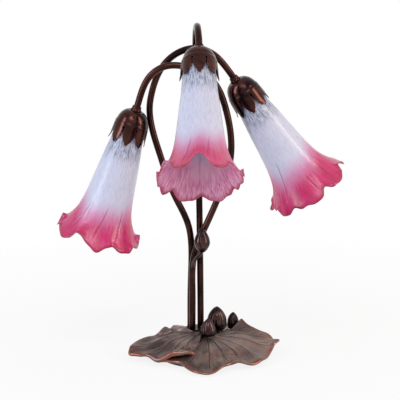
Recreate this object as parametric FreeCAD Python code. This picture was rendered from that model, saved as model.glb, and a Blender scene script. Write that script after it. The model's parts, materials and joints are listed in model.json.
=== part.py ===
import FreeCAD, Part
import math
import os

# Table lamp with three drooping flower shades on bent stems, standing on a cast lily-pad base.
# Millimetres. X is right, Y is away from the viewer, Z is up, and the origin is on the table
# under the middle of the foot. Along each lamp head, s runs down the head's own axis from the
# top of the leaf cup (the calyx), where the stem enters it.

V = FreeCAD.Vector

# ---- stems -----------------------------------------------------------------------------------
TUBE_OD = 8.0
TUBE_WALL = 1.0
LANE_GAP = 1.0            # free space between stems that cross
LEAD_OD = 3.0             # twin wire inside a stem

# ---- fits ------------------------------------------------------------------------------------
RUN_FIT = 0.05            # radial clearance of turned fits
SEAT_GAP = 0.3            # clearance of a piece that lifts off its flat seat
CAST_GAP = 0.5            # clearance between castings that don't touch
CUT_OVER = 1.0            # how far a cutting shape runs past the face that it cuts

# ---- foot ------------------------------------------------------------------------------------
FOOT_RADIUS = 57.0
FELT_RADIUS = FOOT_RADIUS - 2.0
FELT_THICK = 1.5
FOOT_RIM = 3.5            # height of the foot's upright edge
FOOT_TOP = 19.0           # height of its flat top over the table
FOOT_FLAT = 34.0          # radius of the flat top
FOOT_ROOF = 4.0           # thickness of metal over the wiring space
FOOT_WALL = 13.0          # metal at the edge, which is the weight of the lamp
COVER_THICK = 1.2
COVER_LIP = 3.0           # how far the cover reaches past the wiring space
COVER_SCREW_D = 3.0
COVER_SCREW_LEN = 6.0
COVER_SCREW_WALL = 2.0    # metal of the foot around a cover screw
COVER_SCREW_ANGLES = (60, 180, 300)
DRIVE_SLOT = 0.6          # width and depth of the slot in a screw's head
BUSHING_BORE = 5.0
BUSHING_D = BUSHING_BORE + 3.0
BUSHING_FLANGE = BUSHING_D + 3.0
BUSHING_LIP = 2.0         # thickness of the bushing's flange
BUSHING_Z = 6.9

# ---- socket block that holds the three stems -------------------------------------------------
FRONT = 6.0               # y of the front lane of crossing stems
REAR = FRONT + TUBE_OD + LANE_GAP
BLOCK_X = -10.3
BLOCK_Y = (FRONT + REAR) / 2 + 1.1
STEM_SPREAD = 7.8         # from the block's axis to its furthest stem
BLOCK_RADIUS = STEM_SPREAD + TUBE_OD / 2 + 1.2
BLOCK_HEIGHT = 11.0
BLOCK_ROUND = 2.0
STEM_DEPTH = 8.0          # how deep a stem stands in the block
SPIGOT_OD = 2 * BLOCK_RADIUS - 2.0
SPIGOT_BORE = SPIGOT_OD - 4.0
SPIGOT_LENGTH = 10.0
NUT_FLATS = SPIGOT_OD + 6.0
NUT_THICK = 4.0
WASHER_THICK = 1.0

# ---- wiring in the foot ------------------------------------------------------------------------
CONNECTOR_WALL = 0.9
CONNECTOR_BORE = LEAD_OD + 0.5                        # radius: it takes two leads side by side
CONNECTOR_RADIUS = CONNECTOR_BORE + CONNECTOR_WALL
CONNECTOR_TIP = 0.7       # radius of its closed end as a share of its mouth
CONNECTOR_LENGTH = 17.0
CONNECTOR_DEEP = 7.0      # depth of its bore
CONNECTOR_X = 13.0
CONNECTOR_Z = COVER_THICK + FELT_THICK + CONNECTOR_RADIUS + 0.5
CONNECTORS_Y = (3.0, 14.0)
LEAD_SIDE = LEAD_OD / 2 + 0.15                        # two leads lie this far from a middle line
LEAD_Z = COVER_THICK + FELT_THICK + LEAD_OD / 2 + 1.2
LEAD_BEND = 4.0
LEAD_END_GAP = 0.3

# ---- leaf cup, lampholder, ring, glass and bulb, along s ---------------------------------------
NIPPLE_WALL = 1.0
NIPPLE_OD = TUBE_OD + 2 * NIPPLE_WALL
NIPPLE_UP = 6.0
NIPPLE_DOWN = 6.0
STEM_IN = 2.0             # how far a stem reaches below the calyx top
COLLAR_OD = NIPPLE_OD + 3.0
COLLAR_LENGTH = 5.6
COLLAR_ROUND = 0.8
HOLDER_OD = 25.0
HOLDER_CAP_OD = HOLDER_OD - 5.0
HOLDER_CAP_END = 8.0
HOLDER_BODY_START = 11.0
HOLDER_CAVITY_END = 14.0  # the wires' space under its cap ends here
HOLDER_WALL = 2.0
HOLDER_LENGTH = 40.0
NECK_S = 24.0             # where the glass neck starts
NECK_THICK = 3.0
NECK_PLAY = 1.3           # free space between lampholder and glass neck
NECK_HOLE_D = HOLDER_OD + 2 * NECK_PLAY
NECK_LEDGE = 1.2          # how far the flange above and the ring below reach past the hole
HOLDER_FLANGE_OD = NECK_HOLE_D + 2 * NECK_LEDGE
HOLDER_FLANGE = 2.0       # thickness of that flange at its edge
RING_OD = HOLDER_FLANGE_OD + 0.8
RING_THICK = 5.0
RING_PLAY = 1.0           # free space between ring and glass
RING_GRIPS = 12
GRIP_RADIUS = 0.9
GLASS_WALL = 2.2
GLASS_PLAY = 0.8          # free space between glass and leaf cup
GLASS_RADIUS = RING_OD / 2 + RING_PLAY + GLASS_WALL
CALYX_WALL = 0.8
CALYX_RADIUS = GLASS_RADIUS + GLASS_PLAY + CALYX_WALL
CALYX_LENGTH = 43.0
CALYX_TOP = NIPPLE_OD / 2 + 2.0                       # radius of its flat crown
CALYX_FLARE = 1.09        # radius at its tips as a share of its straight side
SEPALS = 8
SLIT_WIDTH = 1.4
SLIT_START = 19.0
SLIT_HOLE = 1.26          # radius of the round hole that each slit ends in
SHADE_END = 157.0         # mean s of the ruffled rim
RIM_RADIUS = 50.0
RUFFLES = 8
RUFFLE_TURN = {"left": 22.0, "right": 14.0, "centre": 0.0}
RUFFLE_OUT = 4.5          # half the swing of the rim in and out
RUFFLE_DOWN = 7.5         # half its swing along the axis
RUFFLE_FROM = 7           # the outline's point where the waves start
RUFFLE_GROWTH = 1.6
RUFFLE_UNEVEN = 0.25      # how much the waves differ round the rim
BULB_BASE_D = 11.9
BULB_BASE_LENGTH = 17.0
BULB_BASE_S = 21.0
SHELL_WALL = 0.35
SHELL_PLAY = 0.15         # free space between the bulb's cap and the screw shell
SHELL_OD = BULB_BASE_D + 2 * (SHELL_WALL + SHELL_PLAY)
SHELL_START = BULB_BASE_S - 3.0
SHELL_FLOOR = 1.0
BULB_D = 22.0
BULB_LENGTH = 42.0

# ---- castings on the foot ----------------------------------------------------------------------
PAD_THICK = 2.2
PAD_FALL = 2.0            # how much later than evenly a pad falls from its hub to its edge
PAD_CORE = 0.08           # share of a pad's reach where its rays start
PAD_RINGS = 6
PAD_DRAWN_RADIUS = 57.0   # the foot's radius and height that the pads' outlines are drawn for
PAD_DRAWN_TOP = 19.0
PAD_SPREAD = FOOT_RADIUS / PAD_DRAWN_RADIUS
PAD_LIFT = FOOT_TOP / PAD_DRAWN_TOP
PAD_BOSS = 4.0            # radius of the pillar under a pad
PAD_SCREW_D = 3.0
PAD_SCREW_LEN = 7.0
PAD_SCREW_HEAD = 2.0
REAR_BOSS_X = BLOCK_X + NUT_FLATS / 2 + PAD_SCREW_D + CAST_GAP

# Where each head hangs (calyx top) and which way it points.
HEADS = {
    "left": (V(-80.0, -2.0, 300.5), V(-0.300, 0.080, -0.950)),
    "right": (V(38.6, 8.0, 335.0), V(0.560, 0.150, -0.815)),
    "centre": (V(-5.0, -58.0, 375.5), V(0.010, -0.550, -0.835)),
}

BLOCK_TOP = FOOT_TOP + BLOCK_HEIGHT
STEM_FOOT = BLOCK_TOP - STEM_DEPTH

# Routes of the bent stems from the top of the block to the head, chosen by eye.
ROUTES = {
    "left": [
        (-13.5, FRONT, BLOCK_TOP), (-13.4, FRONT, 80), (-12.6, FRONT, 114), (-7, FRONT - 0.5, 137),
        (3.3, FRONT - 1.5, 161), (16.5, 2.5, 192), (30.7, 0, 233), (33.2, -2, 262), (26.8, -4, 302),
        (10.1, -5.5, 337.5), (-4, -6, 348), (-22.4, -6, 353.6), (-44.3, -6, 353.6),
        (-62.8, -5.5, 341.9),
    ],
    "right": [
        (-15.8, REAR + 1, BLOCK_TOP), (-15.2, REAR + 1, 90), (-14.5, REAR + 1, 130),
        (-18.3, REAR + 1, 158.7), (-35.9, 14.5, 198), (-51.2, 13, 243), (-62.4, 12, 283),
        (-64.2, 11, 302), (-61.4, 9, 321), (-45.5, 6, 356), (-25, 4, 371), (-7.5, 3, 374),
        (9.2, 4, 368.5), (26.0, 6, 352.5),
    ],
    "centre": [
        (-3.3, REAR, BLOCK_TOP), (-3.8, REAR, 110), (-4.6, REAR, 172), (-7, REAR, 280),
        (-9.2, REAR, 364), (-9.1, REAR - 5, 382), (-8.5, -3.3, 395.8), (-7.3, -21.7, 400.7),
        (-6.2, -40, 395.8),
    ],
}

# Outlines of the pads: hub (its height is over the foot), pillar, and the edge around the hub as
# (degrees, reach, height over the table).
PADS = {
    "right": {
        "hub": V(4.5, -13.0, FOOT_TOP + 6.0),
        "boss": (6.0, -8.5),
        "edge": [
            (44, 58, 31), (32, 63, 26), (20, 76, 21), (5, 85, 16), (-9, 77, 10), (-24, 75, 6.5),
            (-40, 73, 5), (-54, 59, 8.5), (-66, 58, 9), (-78, 66, 5), (-91, 74, 2.4),
            (-103, 70, 4.5), (-118, 56, 9.5), (-130, 53, 9.5), (-145, 66, 4),
        ],
    },
    "left": {
        "hub": V(-1.0, -8.0, FOOT_TOP + 9.5),
        "boss": (-18.0, -8.0),
        "edge": [
            (160, 49, 25), (169, 63, 21), (177, 78, 17), (184, 87, 13), (192, 90, 8.5),
            (199, 80, 7.5), (208, 72, 7.5), (216, 68, 8), (226, 62, 12), (238, 52, 19),
            (250, 45, 20.5), (260, 43, 20),
        ],
    },
    "rear": {
        "hub": V(6.0, 20.0, FOOT_TOP + 4.0),
        "boss": (REAR_BOSS_X, 20.0),
        "edge": [
            (8, 44, 19), (30, 50, 16), (55, 50, 13), (80, 45, 15), (100, 45, 15), (122, 50, 13),
            (148, 46, 19), (170, 44, 28), (187, 50, 28),
        ],
    },
}

# Buds on the base: the pad that each stands on, its place from that pad's hub, its height and radius.
BASE_BUDS = {
    "bud_front": ("right", V(1.5, 6.0, 0.6), 21.4, 9.8),
    "bud_tall": ("rear", V(11.0, 5.0, 1.2), 28.8, 12.0),
    "bud_small": ("rear", V(31.5, 14.0, -0.8), 20.8, 7.2),
}
BUD_FOOT = 0.8            # a bud's foot as a share of its radius

STEM_BUD_RADIUS = 9.2
STEM_BUD_HEIGHT = 31.0
STEM_BUD_FOOT = 2.5
STEM_BUD_GAP = 1.4        # from the stems' front to the back of the bud
STEM_BUD = V(-1.6, FRONT - TUBE_OD / 2 - STEM_BUD_GAP - STEM_BUD_RADIUS, 145.5)
STALK_D = 4.4
STALK_GAP = 0.1
STALK_Y = FRONT - TUBE_OD / 2 - STALK_D / 2 - STALK_GAP


# ---- geometry helpers --------------------------------------------------------------------------
def at_polar(radius, degrees, z):
    turn = math.radians(degrees)
    return V(radius * math.cos(turn), radius * math.sin(turn), z)


def frame_at(point, down):
    """Placement whose local Z runs down a head's axis from its calyx top."""
    z = V(down).normalize()
    x = (V(1, 0, 0) - z * z.x).normalize()
    y = z.cross(x)
    matrix = FreeCAD.Matrix(
        x.x, y.x, z.x, point.x,
        x.y, y.y, z.y, point.y,
        x.z, y.z, z.z, point.z,
        0, 0, 0, 1,
    )
    return FreeCAD.Placement(matrix)


def offset_profile(points, distance):
    """The same run of (r, s) points moved sideways by a distance, to the inside of the cup."""
    moved = []
    for i, (r, s) in enumerate(points):
        before = points[max(i - 1, 0)]
        after = points[min(i + 1, len(points) - 1)]
        dr = after[0] - before[0]
        ds = after[1] - before[1]
        length = math.hypot(dr, ds)
        moved.append((r - distance * ds / length, s + distance * dr / length))
    return moved


def turned(points):
    """Solid of revolution about Z from a closed run of (r, s) corners."""
    corners = [V(r, 0, s) for r, s in points]
    wire = Part.makePolygon(corners + [corners[0]])
    return Part.Face(wire).revolve(V(0, 0, 0), V(0, 0, 1), 360)


def smooth_edge(points):
    curve = Part.BSplineCurve()
    curve.interpolate(points)
    return curve.toShape()


def tube_piece(outer, inner, low, high):
    """Plain round sleeve, as radii and ends along Z."""
    return Part.makeCylinder(outer, high - low, V(0, 0, low)).cut(
        Part.makeCylinder(inner, high - low, V(0, 0, low))
    )


def sewn_solid(faces):
    shell = Part.Shell(faces)
    shell.sewShape()
    solid = Part.Solid(shell)
    if solid.Volume < 0:
        solid.reverse()
    return solid


def knots_clamped(count, degree):
    inner = count - degree
    knots = [float(i) for i in range(inner + 1)]
    mults = [degree + 1] + [1] * (inner - 1) + [degree + 1]
    return knots, mults


def round_surface(rings):
    """Smooth surface, closed around its axis, pulled by rings of control points."""
    around = len(rings[0])
    along_knots, along_mults = knots_clamped(len(rings), 3)
    around_knots = [float(i) for i in range(around + 1)]
    surface = Part.BSplineSurface()
    surface.buildFromPolesMultsKnots(
        rings, along_mults, [1] * (around + 1), along_knots, around_knots, False, True, 3, 3
    )
    return surface


def hex_prism(flats, height, low):
    radius = flats / 2 / math.cos(math.pi / 6)
    corners = [
        V(radius * math.cos(k * math.pi / 3), radius * math.sin(k * math.pi / 3), low)
        for k in range(7)
    ]
    return Part.Face(Part.makePolygon(corners)).extrude(V(0, 0, height))


# ---- stems ---------------------------------------------------------------------------------------
def stem_path(side, low, beyond):
    """Wire of one stem: upright in the block, bent, then straight into its head."""
    top, down = HEADS[side]
    down = V(down).normalize()
    points = [V(*p) for p in ROUTES[side]]
    entry = top - down * (NIPPLE_UP + 2)
    curve = Part.BSplineCurve()
    curve.interpolate(Points=points + [entry], InitialTangent=V(0, 0, 1), FinalTangent=down)
    start = points[0]
    foot = Part.makeLine(V(start.x, start.y, low), start)
    tail = Part.makeLine(entry, top + down * beyond)
    return Part.Wire([foot, curve.toShape(), tail])


def swept(path, radii):
    """Round bar or tube along a path; a second radius is its bore."""
    start = path.Edges[0].valueAt(path.Edges[0].FirstParameter)
    heading = path.Edges[0].tangentAt(path.Edges[0].FirstParameter)
    bars = [
        path.makePipeShell([Part.Wire(Part.makeCircle(r, start, heading))], True, True) for r in radii
    ]
    return bars[0].cut(bars[1]) if len(bars) > 1 else bars[0]


def arm_tube(side):
    path = stem_path(side, STEM_FOOT, STEM_IN)
    return swept(path, [TUBE_OD / 2, TUBE_OD / 2 - TUBE_WALL])


# ---- foot ----------------------------------------------------------------------------------------
FOOT_LOW = FELT_THICK
SPACE_RADIUS = FOOT_RADIUS - FOOT_WALL
SPACE_ROOF = FOOT_TOP - FOOT_ROOF
SPACE_FLAT = FOOT_FLAT - 1.0
SPACE_SHOULDER = FOOT_LOW + FOOT_RIM + 1.0
BUSHING_FACE = FOOT_RADIUS + 1.0                      # y of the flat that the flange lies on
COVER_RADIUS = SPACE_RADIUS + COVER_LIP
COVER_TOP = FOOT_LOW + COVER_THICK
COVER_SCREW_RADIUS = SPACE_RADIUS - COVER_SCREW_D
PAD_SPOTS = [PADS[side]["boss"] for side in PADS]


def base_felt():
    return Part.makeCylinder(FELT_RADIUS, FELT_THICK)


def base_foot():
    body = turned([
        (0, FOOT_LOW), (FOOT_RADIUS, FOOT_LOW), (FOOT_RADIUS, FOOT_LOW + FOOT_RIM),
        (FOOT_FLAT, FOOT_TOP), (0, FOOT_TOP),
    ])
    space = turned([
        (0, FOOT_LOW), (SPACE_RADIUS, FOOT_LOW), (SPACE_RADIUS, SPACE_SHOULDER),
        (SPACE_FLAT, SPACE_ROOF), (0, SPACE_ROOF),
    ])
    body = body.cut(space)
    for angle in COVER_SCREW_ANGLES:
        spot = at_polar(COVER_SCREW_RADIUS, angle, COVER_TOP)
        body = body.fuse(
            Part.makeCylinder(COVER_SCREW_D / 2 + COVER_SCREW_WALL, COVER_SCREW_LEN, spot)
        )
    boss_high = BUSHING_Z + BUSHING_FLANGE / 2
    boss = Part.makeBox(
        BUSHING_FLANGE, BUSHING_FACE - SPACE_RADIUS + 2 * CUT_OVER, boss_high - COVER_TOP,
        V(-BUSHING_FLANGE / 2, SPACE_RADIUS - 2 * CUT_OVER, COVER_TOP),
    )
    body = body.fuse(boss)
    recess = Part.makeCylinder(COVER_RADIUS + RUN_FIT, COVER_THICK, V(0, 0, FOOT_LOW))
    body = body.cut(recess)
    for angle in COVER_SCREW_ANGLES:
        spot = at_polar(COVER_SCREW_RADIUS, angle, FOOT_LOW)
        hole_length = COVER_SCREW_LEN + CUT_OVER
        body = body.cut(Part.makeCylinder(COVER_SCREW_D / 2 + RUN_FIT, hole_length, spot))
    way = Part.makeCylinder(
        BUSHING_D / 2 + RUN_FIT, FOOT_WALL + 8 * CUT_OVER,
        V(0, SPACE_RADIUS - 4 * CUT_OVER, BUSHING_Z), V(0, 1, 0)
    )
    body = body.cut(way)
    seat = Part.makeCylinder(
        SPIGOT_OD / 2 + RUN_FIT, FOOT_TOP, V(BLOCK_X, BLOCK_Y, SPACE_ROOF - CUT_OVER)
    )
    body = body.cut(seat)
    for x, y in PAD_SPOTS:
        body = body.cut(Part.makeCylinder(PAD_SCREW_D / 2 + RUN_FIT, FOOT_TOP, V(x, y, COVER_TOP)))
    return body


def wiring_cover():
    plate = Part.makeCylinder(COVER_RADIUS, COVER_THICK, V(0, 0, FOOT_LOW))
    for angle in COVER_SCREW_ANGLES:
        spot = at_polar(COVER_SCREW_RADIUS, angle, FOOT_LOW)
        sink = Part.makeCone(COVER_SCREW_D, COVER_SCREW_D / 2 + RUN_FIT, COVER_THICK, spot)
        plate = plate.cut(sink)
    return plate


def cover_screws():
    screws = []
    for angle in COVER_SCREW_ANGLES:
        spot = at_polar(COVER_SCREW_RADIUS, angle, FOOT_LOW)
        head = Part.makeCone(COVER_SCREW_D - RUN_FIT, COVER_SCREW_D / 2, COVER_THICK, spot)
        shank = Part.makeCylinder(COVER_SCREW_D / 2, COVER_SCREW_LEN, spot)
        slot = V(COVER_SCREW_D * 0.7, DRIVE_SLOT / 2, 0)
        drive = Part.makeBox(COVER_SCREW_D * 1.4, DRIVE_SLOT, DRIVE_SLOT, spot - slot)
        screws.append(head.fuse(shank).cut(drive))
    return Part.makeCompound(screws)


def cord_inlet_bushing():
    """Flanged sleeve in the rear of the foot that the supply lead comes through."""
    inner_end = SPACE_RADIUS - BUSHING_LIP
    length = BUSHING_FACE - inner_end
    backward = V(0, 1, 0)
    sleeve = Part.makeCylinder(BUSHING_D / 2, length, V(0, inner_end, BUSHING_Z), backward)
    flange = Part.makeCylinder(BUSHING_FLANGE / 2, BUSHING_LIP, V(0, BUSHING_FACE, BUSHING_Z), backward)
    bore = Part.makeCylinder(
        BUSHING_BORE / 2, length + BUSHING_LIP + 2 * CUT_OVER,
        V(0, inner_end - CUT_OVER, BUSHING_Z), backward
    )
    return sleeve.fuse(flange).cut(bore)


# ---- socket block --------------------------------------------------------------------------------
def arm_socket():
    axis = V(BLOCK_X, BLOCK_Y, 0)
    block = Part.makeCylinder(BLOCK_RADIUS, BLOCK_HEIGHT, axis + V(0, 0, FOOT_TOP))
    rim = [e for e in block.Edges if e.CenterOfMass.z > BLOCK_TOP - CUT_OVER / 10]
    block = block.makeFillet(BLOCK_ROUND, rim)
    low = axis + V(0, 0, FOOT_TOP - SPIGOT_LENGTH)
    spigot = Part.makeCylinder(SPIGOT_OD / 2, SPIGOT_LENGTH, low)
    bore = Part.makeCylinder(SPIGOT_BORE / 2, STEM_FOOT - low.z, low)
    block = block.fuse(spigot).cut(bore)
    for side in ROUTES:
        x, y, z = ROUTES[side][0]
        seat = Part.makeCylinder(TUBE_OD / 2 + RUN_FIT, STEM_DEPTH + CUT_OVER, V(x, y, STEM_FOOT))
        block = block.cut(seat)
    return block


def socket_washer():
    washer = tube_piece(NUT_FLATS / 2, SPIGOT_OD / 2 + RUN_FIT, SPACE_ROOF - WASHER_THICK, SPACE_ROOF)
    washer.translate(V(BLOCK_X, BLOCK_Y, 0))
    return washer


def socket_nut():
    low = SPACE_ROOF - WASHER_THICK - NUT_THICK
    nut = hex_prism(NUT_FLATS, NUT_THICK, low)
    nut = nut.cut(Part.makeCylinder(SPIGOT_OD / 2 + RUN_FIT, NUT_THICK, V(0, 0, low)))
    nut.translate(V(BLOCK_X, BLOCK_Y, 0))
    return nut


# ---- wiring in the foot ----------------------------------------------------------------------------
LEAD_MOUTHS = {
    "right": CONNECTORS_Y[0] + LEAD_SIDE,
    "left": CONNECTORS_Y[0] - LEAD_SIDE,
    "centre": CONNECTORS_Y[1],
}


def wire_connectors():
    """Two twist-on caps that join the three twin wires to the supply lead."""
    caps = []
    for y in CONNECTORS_Y:
        start = V(CONNECTOR_X, y, CONNECTOR_Z)
        cap = Part.makeCone(
            CONNECTOR_RADIUS, CONNECTOR_RADIUS * CONNECTOR_TIP, CONNECTOR_LENGTH, start, V(1, 0, 0)
        )
        bore = Part.makeCylinder(CONNECTOR_BORE, CONNECTOR_DEEP, start, V(1, 0, 0))
        caps.append(cap.cut(bore))
    return Part.makeCompound(caps)


def rounded_run(points, radius):
    """Straight runs joined by tangent arcs."""
    edges = []
    start = points[0]
    for before, corner, after in zip(points, points[1:], points[2:]):
        into = (before - corner).normalize()
        out = (after - corner).normalize()
        half = into.getAngle(out) / 2
        reach = radius / math.tan(half)
        centre = corner + (into + out).normalize() * (radius / math.sin(half))
        middle = centre + (corner - centre).normalize() * radius
        edges.append(Part.makeLine(start, corner + into * reach))
        edges.append(Part.Arc(corner + into * reach, middle, corner + out * reach).toShape())
        start = corner + out * reach
    edges.append(Part.makeLine(start, points[-1]))
    return edges


def inner_lead(side):
    """Twin wire from the foot, up the stem's bore, to the back of the lampholder."""
    x, y, z = ROUTES[side][0]
    mouth = LEAD_MOUTHS[side]
    run = [
        V(CONNECTOR_X + CONNECTOR_DEEP - CUT_OVER, mouth, CONNECTOR_Z),
        V(CONNECTOR_X - LEAD_BEND / 2, mouth, CONNECTOR_Z - LEAD_END_GAP),
        V(x, y, LEAD_Z),
        V(x, y, STEM_FOOT),
    ]
    path = stem_path(side, STEM_FOOT, HOLDER_CAVITY_END - LEAD_END_GAP)
    wire = Part.Wire(rounded_run(run, LEAD_BEND) + path.Edges)
    return swept(wire, [LEAD_OD / 2])


# ---- lamp heads ------------------------------------------------------------------------------------
def calyx_outline():
    """Outside of the leaf cup as (r, s): flat crown, round shoulder, straight side, tips turned out."""
    r = CALYX_RADIUS
    length = CALYX_LENGTH
    return [
        (CALYX_TOP, 0), (r * 0.62, 1.2), (r * 0.84, 4.6), (r * 0.96, 10.0), (r, 17.0),
        (r, length * 0.58), (r * 1.005, length * 0.74), (r * 1.035, length * 0.88),
        (r * CALYX_FLARE, length),
    ]


def calyx_notch():
    """Gap between two leaves, as a flat shape that is wide at the tips and a slit above."""
    half_slit = SLIT_WIDTH / 2
    half_pitch = math.pi * CALYX_RADIUS * CALYX_FLARE / SEPALS
    shoulder = CALYX_LENGTH * 0.66
    end = CALYX_LENGTH + CUT_OVER
    middle = shoulder + (end - shoulder) * 0.55
    leaf_edge = [(half_slit, shoulder), (half_pitch * 0.30, middle), (half_pitch * 1.05, end)]
    left_edge = smooth_edge([V(0, y, s) for y, s in leaf_edge])
    right_edge = smooth_edge([V(0, -y, s) for y, s in leaf_edge])
    corners = [
        left_edge.valueAt(left_edge.FirstParameter), V(0, half_slit, SLIT_START),
        V(0, -half_slit, SLIT_START), right_edge.valueAt(right_edge.FirstParameter),
    ]
    slit = [Part.makeLine(a, b) for a, b in zip(corners, corners[1:])]
    bottom = Part.makeLine(V(0, half_pitch * 1.05, end), V(0, -half_pitch * 1.05, end))
    face = Part.Face(Part.Wire(Part.__sortEdges__(slit + [left_edge, bottom, right_edge])))
    notch = face.extrude(V(CALYX_RADIUS * 2, 0, 0))
    hole = Part.makeCylinder(SLIT_HOLE, CALYX_RADIUS * 2, V(0, 0, SLIT_START), V(1, 0, 0))
    return notch.fuse(hole)


def calyx():
    outside = calyx_outline()
    inside = offset_profile(outside, CALYX_WALL)
    inside[0] = (CALYX_TOP, CALYX_WALL)
    hole = NIPPLE_OD / 2 + RUN_FIT
    skin = smooth_edge([V(r, 0, s) for r, s in outside])
    lining = smooth_edge([V(r, 0, s) for r, s in inside])
    edges = [
        Part.makeLine(V(hole, 0, 0), V(CALYX_TOP, 0, 0)),
        skin,
        Part.makeLine(skin.valueAt(skin.LastParameter), lining.valueAt(lining.LastParameter)),
        lining,
        Part.makeLine(V(CALYX_TOP, 0, CALYX_WALL), V(hole, 0, CALYX_WALL)),
        Part.makeLine(V(hole, 0, CALYX_WALL), V(hole, 0, 0)),
    ]
    wire = Part.Wire(Part.__sortEdges__(edges))
    cup = Part.Face(wire).revolve(V(0, 0, 0), V(0, 0, 1), 360)
    notch = calyx_notch()
    for k in range(SEPALS):
        gap = notch.copy()
        gap.rotate(V(0, 0, 0), V(0, 0, 1), (k + 0.5) * 360 / SEPALS)
        cup = cup.cut(gap)
    return cup


def is_rim(edge, radius, level):
    """Whether an edge is the circle of this radius at this level of Z."""
    box = edge.BoundBox
    near = 0.01
    return abs(box.ZMin - level) < near and abs(box.ZMax - level) < near and abs(box.XMax - radius) < near


def arm_nipple():
    return tube_piece(NIPPLE_OD / 2, TUBE_OD / 2 + RUN_FIT, -NIPPLE_UP, NIPPLE_DOWN)


def arm_collar():
    collar = tube_piece(COLLAR_OD / 2, NIPPLE_OD / 2 + RUN_FIT, -COLLAR_LENGTH, 0)
    top_rim = [e for e in collar.Edges if is_rim(e, COLLAR_OD / 2, -COLLAR_LENGTH)]
    return collar.makeFillet(COLLAR_ROUND, top_rim)


def lampholder():
    """Body with a stepped cap, a flange that the glass hangs under, and a bore for the screw shell."""
    bore = SHELL_OD / 2 + RUN_FIT
    nipple_hole = NIPPLE_OD / 2 + RUN_FIT
    crown = CALYX_TOP - 0.2
    crown_end = CALYX_WALL + 2.2
    cap = HOLDER_CAP_OD / 2
    body = HOLDER_OD / 2
    flange = HOLDER_FLANGE_OD / 2
    flange_end = NECK_S - SEAT_GAP
    flange_start = flange_end - HOLDER_FLANGE
    return turned([
        (nipple_hole, CALYX_WALL), (crown, CALYX_WALL), (crown, crown_end), (cap, crown_end),
        (cap, HOLDER_CAP_END), (body, HOLDER_BODY_START), (body, flange_start - 1),
        (flange, flange_start), (flange, flange_end), (body, flange_end), (body, HOLDER_LENGTH),
        (bore, HOLDER_LENGTH), (bore, SHELL_START), (LEAD_OD, SHELL_START),
        (LEAD_OD, HOLDER_CAVITY_END), (cap - HOLDER_WALL, HOLDER_CAVITY_END),
        (cap - HOLDER_WALL, NIPPLE_DOWN), (nipple_hole, NIPPLE_DOWN),
    ])


def screw_shell():
    """Brass cup in the lampholder that the bulb screws into."""
    outer = SHELL_OD / 2
    inner = outer - SHELL_WALL
    end = HOLDER_LENGTH - 1
    floor = SHELL_START + SHELL_FLOOR
    return turned([
        (0, SHELL_START), (outer, SHELL_START), (outer, end), (inner, end), (inner, floor), (0, floor),
    ])


def shade_ring():
    top = NECK_S + NECK_THICK + SEAT_GAP
    ring = tube_piece(RING_OD / 2, HOLDER_OD / 2 + RUN_FIT, top, top + RING_THICK)
    for k in range(RING_GRIPS):
        start = V(RING_OD / 2 + GRIP_RADIUS / 2, 0, top + GRIP_RADIUS * 1.5)
        groove = Part.makeCylinder(GRIP_RADIUS, RING_THICK, start)
        groove.rotate(V(0, 0, 0), V(0, 0, 1), k * 360 / RING_GRIPS)
        ring = ring.cut(groove)
    return ring


def shade_outline():
    """Outside of the glass as control points (r, s): shouldered neck, slow taper, wide flare."""
    neck = NECK_HOLE_D / 2
    side = GLASS_RADIUS
    length = SHADE_END - NECK_S
    flare = RIM_RADIUS - side
    return [
        (neck, NECK_S), (neck + 2.4, NECK_S), (side, NECK_S + 0.4), (side + 0.1, NECK_S + 6),
        (side + 0.9, NECK_S + 16), (side + flare * 0.11, NECK_S + length * 0.23),
        (side + flare * 0.18, NECK_S + length * 0.35), (side + flare * 0.245, NECK_S + length * 0.48),
        (side + flare * 0.31, NECK_S + length * 0.60), (side + flare * 0.38, NECK_S + length * 0.71),
        (side + flare * 0.485, NECK_S + length * 0.81), (side + flare * 0.67, NECK_S + length * 0.895),
        (side + flare * 0.86, NECK_S + length * 0.96), (RIM_RADIUS, SHADE_END),
    ]


def ruffled_rings(outline, side):
    """Rings of control points, round at the neck and waved more and more towards the rim."""
    steps = RUFFLES * 4
    rings = []
    for i, (r, s) in enumerate(outline):
        share = max(0.0, (i - RUFFLE_FROM) / (len(outline) - 1 - RUFFLE_FROM)) ** RUFFLE_GROWTH
        ring = []
        for k in range(steps):
            turn = 2 * math.pi * k / steps
            wave = math.cos(RUFFLES * (turn - math.radians(RUFFLE_TURN[side])))
            uneven = 1 + RUFFLE_UNEVEN * math.cos(3 * turn + 0.7)
            radius = r - RUFFLE_OUT * share * wave * uneven
            ring.append(at_polar(
                radius, math.degrees(turn), s - RUFFLE_DOWN * share * wave * uneven
            ))
        rings.append(ring)
    return rings


def glass_shade(side):
    outside = shade_outline()
    inside = offset_profile(outside, GLASS_WALL)
    inside[0] = (outside[0][0], NECK_S + NECK_THICK)
    inside[1] = (outside[1][0] - 0.6, NECK_S + NECK_THICK)
    inside[2] = (outside[2][0] - GLASS_WALL, NECK_S + NECK_THICK + 0.3)
    outer = round_surface(ruffled_rings(outside, side))
    inner = round_surface(ruffled_rings(inside, side))
    first, last, low, high = outer.bounds()
    rim = Part.makeRuledSurface(outer.uIso(last).toShape(), inner.uIso(last).toShape())
    hole = Part.makeRuledSurface(outer.uIso(first).toShape(), inner.uIso(first).toShape())
    return sewn_solid([outer.toShape(), inner.toShape(), rim, hole])


def bulb_base():
    """Screw cap of the bulb with its centre contact."""
    r = BULB_BASE_D / 2
    s = BULB_BASE_S
    return turned([
        (0, s - 1.6), (2.2, s - 1.6), (2.4, s - 0.4), (r * 0.85, s + 1), (r, s + 2),
        (r, s + BULB_BASE_LENGTH), (r - 0.4, s + BULB_BASE_LENGTH), (0, s + BULB_BASE_LENGTH),
    ])


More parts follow.
